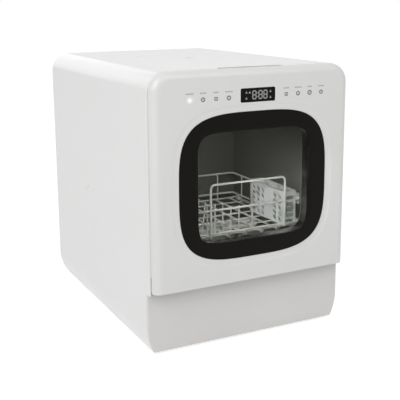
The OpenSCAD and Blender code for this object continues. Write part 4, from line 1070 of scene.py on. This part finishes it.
class PieceTree:
    """A Geometry Nodes tree with named inputs, which a modifier sets by their identifiers."""

    def __init__(self, name: str, inputs: tuple[tuple[str, str, float | None], ...]) -> None:
        """Start the tree with its inputs and its output.

        Args:
            name: The tree's name.
            inputs: Name, kind of socket and first value of each input, beside the geometry and the finish.
        """
        self.tree = bpy.data.node_groups.new(name, "GeometryNodeTree")
        face = self.tree.interface
        self.ids: dict[str, str] = {}
        for label, kind, value in (("Geometry", "Geometry", None), *inputs, ("Finish", "Material", None)):
            socket = face.new_socket(label, in_out="INPUT", socket_type="NodeSocket" + kind)
            if value is not None:
                socket.default_value = value
            self.ids[label] = socket.identifier
        face.new_socket("Geometry", in_out="OUTPUT", socket_type="NodeSocketGeometry")
        self.add, self.link = self.tree.nodes.new, self.tree.links.new
        self.start, self.end = self.add("NodeGroupInput"), self.add("NodeGroupOutput")

    def close(self, made: bpy.types.NodeSocket) -> None:
        """End the tree by making its instances real and giving them their finish.

        Args:
            made: The socket that the geometry comes from.
        """
        real, dress = self.add("GeometryNodeRealizeInstances"), self.add("GeometryNodeSetMaterial")
        self.link(made, real.inputs["Geometry"])
        self.link(real.outputs["Geometry"], dress.inputs["Geometry"])
        self.link(self.start.outputs["Finish"], dress.inputs["Material"])
        self.link(dress.outputs["Geometry"], self.end.inputs["Geometry"])

    def grow(self, mesh: bpy.types.Mesh, finish: Finish, values: dict[str, object]) -> bpy.types.Object:
        """Run the tree on a mesh.

        Args:
            mesh: The mesh, which has the piece's name.
            finish: The piece's finish.
            values: The value of each other named input.

        Returns:
            The piece, as a plain mesh.
        """
        obj = add_object(mesh.name, mesh)
        mod = obj.modifiers.new("tree", "NODES")
        mod.node_group = self.tree
        for label, value in {**values, "Finish": finish.material()}.items():
            mod[self.ids[label]] = value
        bake(obj)
        return obj


class WireTree(PieceTree):
    """Geometry nodes that turn chains of edges into bent wire."""

    sides = 14
    bend_steps = 6

    def __init__(self) -> None:
        """Build the tree, which rounds the corners of the chains and sweeps a circle along them."""
        super().__init__("bent wire", (("Radius", "Float", 0.00175), ("Bend", "Float", 0.008),
                                       ("Sides", "Int", self.sides)))
        add, link, start = self.add, self.link, self.start
        curve, fillet = add("GeometryNodeMeshToCurve"), add("GeometryNodeFilletCurve")
        ring, sweep = add("GeometryNodeCurvePrimitiveCircle"), add("GeometryNodeCurveToMesh")
        smooth = add("GeometryNodeSetShadeSmooth")
        fillet.mode = "POLY"
        fillet.inputs["Count"].default_value = self.bend_steps
        fillet.inputs["Limit Radius"].default_value = True
        sweep.inputs["Fill Caps"].default_value = True
        link(start.outputs["Geometry"], curve.inputs["Mesh"])
        link(curve.outputs["Curve"], fillet.inputs["Curve"])
        link(start.outputs["Bend"], fillet.inputs["Radius"])
        link(start.outputs["Sides"], ring.inputs["Resolution"])
        link(start.outputs["Radius"], ring.inputs["Radius"])
        link(fillet.outputs["Curve"], sweep.inputs["Curve"])
        link(ring.outputs["Curve"], sweep.inputs["Profile Curve"])
        link(sweep.outputs["Mesh"], smooth.inputs["Geometry"])
        self.close(smooth.outputs["Geometry"])

    def wires(self, name: str, chains: list[Chain], radius: float, bend: float,
              nodes: tuple[str, ...] = ()) -> None:
        """Make coated wires along chains of corners, and place them on the rack.

        Args:
            name: The piece's name.
            chains: Corners of each wire in millimetres, and whether it closes.
            radius: The wire's radius.
            bend: Radius of its bends.
            nodes: The nodes that the piece stands for.
        """
        points: list[Vector] = []
        edges: list[tuple[int, int]] = []
        for chain, closed in chains:
            base = len(points)
            points.extend(Vector(p) * MM for p in chain)
            edges.extend((base + i, base + i + 1) for i in range(len(chain) - 1))
            if closed:
                edges.append((base + len(chain) - 1, base))
        mesh = bpy.data.meshes.new(name)
        mesh.from_pydata(points, edges, [])
        obj = self.grow(mesh, Finishes.COATED,
                        {"Radius": radius * MM, "Bend": bend * MM, "Sides": self.sides})
        self._turn_out(obj)
        place(obj, "rack", Finishes.COATED, nodes)

    def _turn_out(self, obj: bpy.types.Object) -> None:
        """Weld the caps, point the faces outwards and keep the cap edges crisp.

        Args:
            obj: The wires.
        """
        work = bmesh.new()
        work.from_mesh(obj.data)
        bmesh.ops.remove_doubles(work, verts=work.verts, dist=WELD_WIRE)
        bmesh.ops.recalc_face_normals(work, faces=work.faces)
        shade(work, CAPPED)
        work.to_mesh(obj.data)
        work.free()


@dataclass
class Rack:
    """The wire rack: frame, runners, floor and tines.

    The wires sink into each other by weld where they are welded, and each kind of wire has its own bend.
    """

    wire: WireTree
    hw: float = 133.0
    y0: float = -152.0
    depth: float = 235.0
    r: float = 1.75
    thin: float = 1.2
    floor_z: float = 147.75
    low_z: float = 157.5
    rim_z: float = 196.0
    rim_bend: float = 8.0
    hoop_z: float = 238.0
    hoop_x0: float = -37.0
    hoop_x1: float = 100.0
    hoop_bend: float = 7.5
    upright_bend: float = 2.0
    floor_bend: float = 3.0
    tine_bend: float = 1.0
    front_xs: tuple[float, ...] = (-100.0, 41.0)
    rear_xs: tuple[float, ...] = (-100.0, -50.0, 0.0, 50.0, 100.0)
    side_uprights: int = 5
    long_wires: int = 9
    cross_wires: int = 7
    rows: tuple[float, ...] = (-96.0, -38.0)
    pitch: float = 24.0
    tine_h: float = 52.0
    tine_lean: float = 6.0
    front_tines: tuple[float, ...] = (-36.0, -22.0, -8.0, 7.0, 22.0)
    tall_tine: float = 7.0
    weld: float = 0.5

    def frame(self) -> None:
        """Make the rims, the handle hoop and the uprights."""
        y0, y1, hw = self.y0, self.y0 + self.depth, self.hw
        rims = [([(-hw, y0, z), (hw, y0, z), (hw, y1, z), (-hw, y1, z)], True)
                for z in (self.rim_z, self.low_z)]
        self.wire.wires("rack_rims", rims, self.r, self.rim_bend, ("rack_frame",))
        hy, foot, x0, x1 = y0 - 2 * self.r + 0.6, self.low_z - 4, self.hoop_x0, self.hoop_x1
        hoop = [([(x0, hy, foot), (x0, hy, self.hoop_z), (x1, hy, self.hoop_z), (x1, hy, foot)], False)]
        self.wire.wires("rack_hoop", hoop, self.r, self.hoop_bend)
        feet = [(x, y0 + self.r, self.low_z - 1) for x in self.front_xs]
        feet += [(x, y1 - self.r, self.low_z - 10) for x in self.rear_xs]
        feet += [(s * (hw - self.r), y0 + i * self.depth / (self.side_uprights + 1), self.low_z - 10)
                 for s in (-1, 1) for i in range(1, self.side_uprights + 1)]
        uprights = [([(x, y, z), (x, y, self.rim_z + 1)], False) for x, y, z in feet]
        self.wire.wires("rack_uprights", uprights, self.thin, self.upright_bend)

    def runners(self) -> None:
        """Make the two flat bars that ride on the rollers, with their lugs."""
        y0, y1, hw, z = self.y0, self.y0 + self.depth, self.hw, self.floor_z
        bars = Shape()
        for s in (-1, 1):
            bars.box(*sorted((s * (hw + 1), s * (hw + 7.5))), y0 + 12, y1 - 1, z - 1, z + 2)
            for y in (y0 + 20, y1 - 20):
                bars.box(*sorted((s * (hw - 1), s * (hw + 3))), y - 4, y + 4, z - 1, self.low_z)
        place(bars.build("rack_runners", Finishes.COATED, 30, 0.5), "rack", Finishes.COATED)

    def floor(self) -> None:
        """Make the floor grid with its upturned ends, and the wires across it."""
        y0, y1, hw = self.y0, self.y0 + self.depth, self.hw
        grid: list[Chain] = []
        for i in range(self.long_wires):
            x = -hw + 10 + i * (2 * hw - 20) / (self.long_wires - 1)
            grid.append(([(x, y0 + 3, self.low_z + 1), (x, y0 + 3, self.floor_z), (x, y1 - 3, self.floor_z),
                          (x, y1 - 3, self.low_z - 11)], False))
        self.wire.wires("rack_grid", grid, self.r, self.floor_bend, ("rack_floor",))
        end, z = hw - self.r - self.thin, self.cross_z()
        ys = [y0 + 12 + i * (self.depth - 24) / (self.cross_wires - 1) for i in range(self.cross_wires)]
        self.wire.wires("rack_cross", [([(-end, y, z), (end, y, z)], False) for y in ys], self.thin,
                        self.tine_bend)

    def cross_z(self) -> float:
        """Return the height of the cross wires' middle, sunk into the grid by the weld."""
        return self.floor_z + self.thin + self.r - self.weld

    def tines(self) -> None:
        """Make the two rows of plate tines on their rails, and the short row behind the hoop."""
        y0, y1 = self.y0, self.y0 + self.depth
        tines: list[Chain] = []
        base = self.floor_z + 2 * self.thin + self.r + 0.4
        for row in self.rows:
            tines.append(([(row, y0 + 20, base), (row, y1 - 14, base)], False))
            for i in range(int((self.depth - 50) // self.pitch) + 1):
                y = y0 + 26 + i * self.pitch
                tines.append(([(row, y, base), (row + self.tine_lean, y, base + self.tine_h)], False))
        y, foot = y0 + 12, self.cross_z() + 0.6
        for x in self.front_tines:
            top = self.rim_z + (self.tall_tine if x < 0 else 0)
            tines.append(([(x, y, foot), (x, y, top)], False))
        self.wire.wires("rack_tines", tines, self.thin, self.tine_bend, ("plate_tines",))


@dataclass
class Basket:
    """The cutlery basket that hangs on the rack's right rim, and its lid.

    The columns are where the slots of the long sides start and end, from the basket's front.
    """

    rack: Rack
    width: float = 25.0
    length: float = 108.0
    height: float = 56.0
    wall: float = 1.8
    post: float = 4.5
    foot: float = 3.0
    rows: int = 5
    slant: float = 4.5
    slot_z: float = 6.0
    end_slot_z: float = 6.6
    columns: tuple[Pair, ...] = ((6.0, 15.5), (21.0, 30.5), (61.0, 70.5), (76.0, 85.5), (91.0, 100.5))
    cell: float = 36.0
    lid_t: float = 2.0
    lid_slots: int = 9
    lid_slot_w: float = 5.5
    hook_y: Pair = (4.0, 20.0)

    def __post_init__(self) -> None:
        """Work out the box that the basket fills."""
        rack = self.rack
        self.x1 = rack.hw - rack.r - 2.5
        self.x0 = self.x1 - self.width
        self.y0 = rack.y0 + 8
        self.y1 = self.y0 + self.length
        self.z0 = rack.floor_z + 2 * rack.thin + rack.r - rack.weld + 0.3
        self.z1 = self.z0 + self.height
        self.step = (self.z1 - self.z0 - 8.0) / self.rows

    def body(self) -> None:
        """Make the basket with its slots, partitions and hook."""
        shape = Shape()
        x0, x1, y0, y1, z0, z1, t = self.x0, self.x1, self.y0, self.y1, self.z0, self.z1, self.wall
        shape.box(x0, x1, y0, y1, z0, z0 + t)
        for low, high in ((x0, x0 + t), (x1 - t, x1)):
            self._side(shape, low, high)
        for low, high in ((y0, y0 + t), (y1 - t, y1)):
            self._end(shape, low, high)
        for i in (1, 2):
            y = y0 + i * self.cell
            shape.box(x0 + t, x1 - t, y - 0.7, y + 0.7, z0 + 1, z1 - 3)
        rack = self.rack
        a, b = (y0 + v for v in self.hook_y)
        shape.box(x1 - 1, rack.hw + 6, a, b, rack.rim_z + rack.r + 0.3, rack.rim_z + rack.r + 5)
        shape.box(rack.hw + rack.r + 1, rack.hw + 6, a, b, rack.rim_z - 12, rack.rim_z + rack.r + 5)
        place(shape.build("cutlery_holder", Finishes.BASKET, 30, 0.25), "basket", Finishes.BASKET,
              ("cutlery_basket",))

    def _side(self, shape: Shape, xa: float, xb: float) -> None:
        """Add a long side: posts, and slanting slats between them.

        Args:
            shape: Where it goes.
            xa: Low X.
            xb: High X.
        """
        y0, z0, z1, step, slant, foot = self.y0, self.z0, self.z1, self.step, self.slant, self.foot
        edges = [0.0] + [v for c in self.columns for v in c] + [self.length]
        for k in range(0, len(edges), 2):
            shape.box(xa, xb, y0 + edges[k], y0 + edges[k + 1], z0, z1)
        for a, b in self.columns:
            low, high = y0 + a, y0 + b
            for j in range(1, self.rows):
                z = z0 + foot + j * step
                shape.prism([(low, z - step + self.slot_z), (high, z - step + self.slot_z + slant),
                             (high, z + slant), (low, z)], xa, xb, Axis.X)
            shape.prism([(low, z0), (high, z0), (high, z0 + foot + slant), (low, z0 + foot)], xa, xb, Axis.X)
            top = z0 + foot + (self.rows - 1) * step + self.slot_z
            shape.prism([(low, top), (high, top + slant), (high, z1), (low, z1)], xa, xb, Axis.X)

    def _end(self, shape: Shape, ya: float, yb: float) -> None:
        """Add a short end: two posts, and level slats between them.

        Args:
            shape: Where it goes.
            ya: Low Y.
            yb: High Y.
        """
        z0, z1, step, foot = self.z0, self.z1, self.step, self.foot
        a, b = self.x0 + self.post, self.x1 - self.post
        shape.box(self.x0, a, ya, yb, z0, z1)
        shape.box(b, self.x1, ya, yb, z0, z1)
        shape.box(a, b, ya, yb, z0, z0 + foot)
        for j in range(1, self.rows):
            z = z0 + foot + j * step
            shape.box(a, b, ya, yb, z - step + self.end_slot_z, z)
        shape.box(a, b, ya, yb, z1 - step + foot, z1)

    def lid(self) -> None:
        """Make the slotted lid, with its two rims and its middle rib."""
        shape = Shape()
        x0, x1, y0, z = self.x0, self.x1, self.y0, self.z1 + 0.3
        middle, top = (x0 + x1) / 2, z + self.lid_t
        edges = [0.0]
        for i in range(self.lid_slots):
            a = 5 + i * 96 / 8.6
            edges += [a, a + self.lid_slot_w]
        edges.append(self.length)
        for k in range(0, len(edges), 2):
            shape.box(x0, x1, y0 + edges[k], y0 + edges[k + 1], z, top)
        for a, b in ((x0, x0 + 4), (x1 - 4, x1), (middle - 1.5, middle + 1.5)):
            shape.box(a, b, y0, self.y1, z, top)
        place(shape.build("cutlery_lid", Finishes.BASKET, 30, 0.25), "basket", Finishes.BASKET,
              ("basket_lid",))


@dataclass
class Fasteners:
    """The cross-head screws of the rear cover and the hinge brackets."""

    cabinet: Cabinet
    head_r: float = 3.2
    head_t: float = 1.2
    shank_r: float = 1.5
    slot_a: float = 1.7
    slot_w: float = 0.42
    tip: float = 1.2
    rear_x: float = 156.0
    rear_zs: Pair = (112.0, 366.0)
    rear_shank: float = 20.0
    bracket_x: float = 137.0
    bracket_y: float = -204.4
    bracket_zs: Pair = (84.0, 96.0)
    bracket_shank: float = 8.0

    def __post_init__(self) -> None:
        """Build the tree that sets a screw at each point, turned along the point's facing."""
        self.made = PieceTree("screws at points", (("Screw", "Object", None), ("Size", "Float", 1.0)))
        add, link, start = self.made.add, self.made.link, self.made.start
        screw, facing = add("GeometryNodeObjectInfo"), add("GeometryNodeInputNamedAttribute")
        turn, seat = add("FunctionNodeAlignRotationToVector"), add("GeometryNodeInstanceOnPoints")
        facing.data_type = "FLOAT_VECTOR"
        facing.inputs["Name"].default_value = "facing"
        turn.axis = "Z"
        link(start.outputs["Screw"], screw.inputs["Object"])
        link(facing.outputs["Attribute"], turn.inputs["Vector"])
        link(start.outputs["Geometry"], seat.inputs["Points"])
        link(screw.outputs["Geometry"], seat.inputs["Instance"])
        link(turn.outputs["Rotation"], seat.inputs["Rotation"])
        link(start.outputs["Size"], seat.inputs["Scale"])
        self.made.close(seat.outputs["Instances"])

    def _one(self, length: float) -> bpy.types.Object:
        """Make one screw with its head's seat at the origin and its head towards +Z.

        Args:
            length: Length of its shank in millimetres.

        Returns:
            The screw.
        """
        a, w, m = self.slot_a, self.slot_w, (self.slot_a + self.slot_w) / 2
        cross = [(a, 0.0), (a, w), (m, w), (w, w), (w, m), (w, a)]
        for _ in range(3):
            cross += [(-y, x) for x, y in cross[-6:]]

        def circle(r: float, z: float) -> list[Point]:
            """Return a ring with a point for each of the cross slot."""
            return [(x, y, z) for x, y in arc(0.0, 0.0, r, 0, 360, len(cross))[:-1]]
        r, t = self.head_r, self.head_t
        floor = [(x * 0.8, y * 0.8, t * 0.25) for x, y in cross]
        rings = [circle(self.shank_r * 0.5, -length), circle(self.shank_r, self.tip - length),
                 circle(self.shank_r, 0.0), circle(r, 0.0), circle(r, t * 0.45), circle(r * 0.94, t * 0.72),
                 circle(r * 0.8, t * 0.93), circle(r * 0.66, t), [(x, y, t) for x, y in cross], floor]
        shape = Shape()
        shape.loft(rings, True, False)
        shape.face(floor)
        shape.face(rings[0][::-1])
        return shape.build("one_screw", Finishes.STEEL, 40)

    def seat(self, name: str, points: list[Point], facing: Point, length: float,
             nodes: tuple[str, ...] = ()) -> None:
        """Set screws at their seats.

        Args:
            name: The piece's name.
            points: Middle of each head's seat, in millimetres.
            facing: Where the heads point.
            length: Length of the shanks.
            nodes: The nodes that the piece stands for.
        """
        one = self._one(length)
        mesh = bpy.data.meshes.new(name)
        mesh.from_pydata([Vector(p) * MM for p in points], [], [])
        way = mesh.attributes.new("facing", "FLOAT_VECTOR", "POINT")
        for item in way.data:
            item.vector = facing
        obj = self.made.grow(mesh, Finishes.STEEL, {"Screw": one, "Size": 1.0})
        bpy.data.objects.remove(one, do_unlink=True)
        place(obj, "cabinet", Finishes.STEEL, nodes)

    def all(self) -> None:
        """Seat the four rear screws and the four bracket screws."""
        back = self.cabinet.rear_y - self.head_t
        rear = [(s * self.rear_x, back, z) for s in (-1, 1) for z in self.rear_zs]
        front = [(s * self.bracket_x, self.bracket_y, z) for s in (-1, 1) for z in self.bracket_zs]
        self.seat("rear_screws", rear, (0.0, 1.0, 0.0), self.rear_shank, ("screws",))
        self.seat("bracket_screws", front, (0.0, -1.0, 0.0), self.bracket_shank)


@dataclass(frozen=True)
class Lamp:
    """A soft lamp.

    Attributes:
        name: Its name.
        at: Where it is, in metres.
        aim: What it points at.
        size: Its width and height.
        power: Watts.
        spread: How wide it shines, in degrees.
        hidden: True if it isn't seen itself, nor in a mirror or through glass.
    """

    name: str
    at: Point
    aim: Point
    size: Pair
    power: float
    spread: float = 180.0
    hidden: bool = False

    def hang(self) -> None:
        """Hang it in the scene."""
        data = bpy.data.lights.new(self.name, "AREA")
        data.shape = "RECTANGLE"
        data.size, data.size_y = self.size
        data.energy = self.power
        data.spread = math.radians(self.spread)
        obj = add_object(self.name, data)
        obj.location = self.at
        obj.rotation_euler = (Vector(self.aim) - Vector(self.at)).to_track_quat("-Z", "Y").to_euler()
        if self.hidden:
            obj.visible_camera = obj.visible_glossy = obj.visible_transmission = False


@dataclass
class Studio:
    """Camera, floor, world and lamps."""

    lens: float = 72.016
    sensor: float = 36.0
    shift_y: float = -0.0875
    clip: Pair = (0.05, 40.0)
    position: Point = (-597.2, -1238.3, 524.2)
    yaw: float = -26.579
    pitch: float = 11.734
    roll: float = 0.395
    sky_light: float = 0.52
    floor_half: float = 9000.0
    floor_white: float = 0.8
    floor_glow: float = 0.8
    shadow_white: float = 0.45
    lamps: tuple[Lamp, ...] = (
        Lamp("key", (-1.6, -1.25, 1.6), (0.0, 0.0, 0.2), (1.4, 1.4), 21.0),
        Lamp("front", (0.6, -1.8, 1.7), (0.0, 0.0, 0.25), (1.4, 1.2), 6.0),
        Lamp("behind", (-0.3, 2.4, 1.05), (-0.1, 0.0, 0.35), (1.6, 0.9), 3.0),
        Lamp("inside", (0.0, -0.217, 0.328), (0.05, -0.13, 0.2), (0.12, 0.01), 0.32, 100.0, True),
    )

    def camera(self) -> None:
        """Set the camera at the photograph's place."""
        data = bpy.data.cameras.new("camera")
        data.lens, data.sensor_width = self.lens, self.sensor
        data.shift_x, data.shift_y = 0.0, self.shift_y
        data.clip_start, data.clip_end = self.clip
        obj = add_object("camera", data)
        turn = (Matrix.Rotation(math.radians(-self.roll), 3, "Y")
                @ Matrix.Rotation(math.radians(self.pitch), 3, "X")
                @ Matrix.Rotation(math.radians(-self.yaw), 3, "Z"))
        back = turn.transposed()
        right, ahead, up = (back @ Vector(v) for v in ((1, 0, 0), (0, 1, 0), (0, 0, 1)))
        frame = Matrix((right, up, -ahead)).transposed().to_4x4()
        frame.translation = Vector(self.position) * MM
        obj.matrix_world = frame
        bpy.context.scene.camera = obj
        log.info("camera looks along %s", tuple(round(v, 3) for v in ahead))

    def light(self) -> None:
        """Hang the key lamp at the upper left, two weaker ones, and a small one inside the window."""
        for lamp in self.lamps:
            lamp.hang()

    def _seen(self, tree: bpy.types.NodeTree) -> bpy.types.NodeSocket:
        """Tell what the camera sees, also in a mirror or through glass, from what gives light.

        Args:
            tree: The nodes that it is added to.

        Returns:
            A socket that is 1 for what is seen, and 0 for light.
        """
        path = tree.nodes.new("ShaderNodeLightPath")
        total = path.outputs["Is Camera Ray"]
        for name in ("Is Glossy Ray", "Is Transmission Ray"):
            add = tree.nodes.new("ShaderNodeMath")
            add.use_clamp = True
            tree.links.new(total, add.inputs[0])
            tree.links.new(path.outputs[name], add.inputs[1])
            total = add.outputs["Value"]
        return total

    def world(self) -> None:
        """Set a pale world that the camera sees as white."""
        world = bpy.data.worlds.new("studio")
        bpy.context.scene.world = world
        world.use_nodes = True
        tree = world.node_tree
        light = tree.nodes["Background"]
        light.inputs["Color"].default_value = (1.0, 1.0, 1.0, 1.0)
        light.inputs["Strength"].default_value = self.sky_light
        seen = tree.nodes.new("ShaderNodeBackground")
        seen.inputs["Color"].default_value = (1.0, 1.0, 1.0, 1.0)
        seen.inputs["Strength"].default_value = 1.0
        mix = tree.nodes.new("ShaderNodeMixShader")
        tree.links.new(self._seen(tree), mix.inputs[0])
        tree.links.new(light.outputs["Background"], mix.inputs[1])
        tree.links.new(seen.outputs["Background"], mix.inputs[2])
        tree.links.new(mix.outputs["Shader"], tree.nodes["World Output"].inputs["Surface"])

    def floor(self) -> None:
        """Lay a pale floor that keeps a soft shadow."""
        shape, far = Shape(), self.floor_half
        shape.face([(-far, -far, 0.0), (far, -far, 0.0), (far, far, 0.0), (-far, far, 0.0)])
        mat = bpy.data.materials.new("floor")
        mat.use_nodes = True
        tree = mat.node_tree
        bsdf = tree.nodes["Principled BSDF"]
        bsdf.inputs["Base Color"].default_value = (*[self.floor_white] * 3, 1.0)
        bsdf.inputs["Roughness"].default_value = 0.9
        bsdf.inputs["Specular IOR Level"].default_value = 0.0
        glow = tree.nodes.new("ShaderNodeEmission")
        glow.inputs["Strength"].default_value = self.floor_glow
        both = tree.nodes.new("ShaderNodeAddShader")
        dim = tree.nodes.new("ShaderNodeBsdfDiffuse")
        dim.inputs["Color"].default_value = (*[self.shadow_white] * 3, 1.0)
        mix = tree.nodes.new("ShaderNodeMixShader")
        tree.links.new(glow.outputs["Emission"], both.inputs[0])
        tree.links.new(dim.outputs["BSDF"], both.inputs[1])
        tree.links.new(self._seen(tree), mix.inputs[0])
        tree.links.new(bsdf.outputs["BSDF"], mix.inputs[1])
        tree.links.new(both.outputs["Shader"], mix.inputs[2])
        tree.links.new(mix.outputs["Shader"], tree.nodes["Material Output"].inputs["Surface"])
        obj = shape.build("floor", Finishes.WHITE)
        obj.data.materials.clear()
        obj.data.materials.append(mat)


def dress_nodes(frame: dict) -> None:
    """Give every carried-over node its finish.
    """
    for name, obj in frame["nodes"].items():
        finish = NODE_FINISH.get(name)
        if finish is None or obj.type != "MESH":
            continue
        if not obj.material_slots:
            obj.data.materials.append(finish.material())
        for slot in obj.material_slots:
            slot.material = finish.material()


def main() -> None:
    """Build the machine, piece by piece."""
    logging.basicConfig(level=logging.INFO, format="%(name)s: %(message)s")
    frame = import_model()
    studio = Studio()
    studio.camera()
    bpy.context.scene.view_settings.view_transform = "Standard"
    cabinet = Cabinet()
    cabinet.shell()
    cabinet.cover()
    cabinet.kick()
    door = Door(cabinet)
    door.panel()
    door.bezel()
    door.spacer()
    door.panes()
    door.display()
    door.keys()
    rack = Rack(WireTree())
    rack.frame()
    rack.runners()
    rack.floor()
    rack.tines()
    basket = Basket(rack)
    basket.body()
    basket.lid()
    Fasteners(cabinet).all()
    dress_nodes(frame)
    studio.floor()
    studio.world()
    studio.light()


if __name__ == "__main__":
    main()
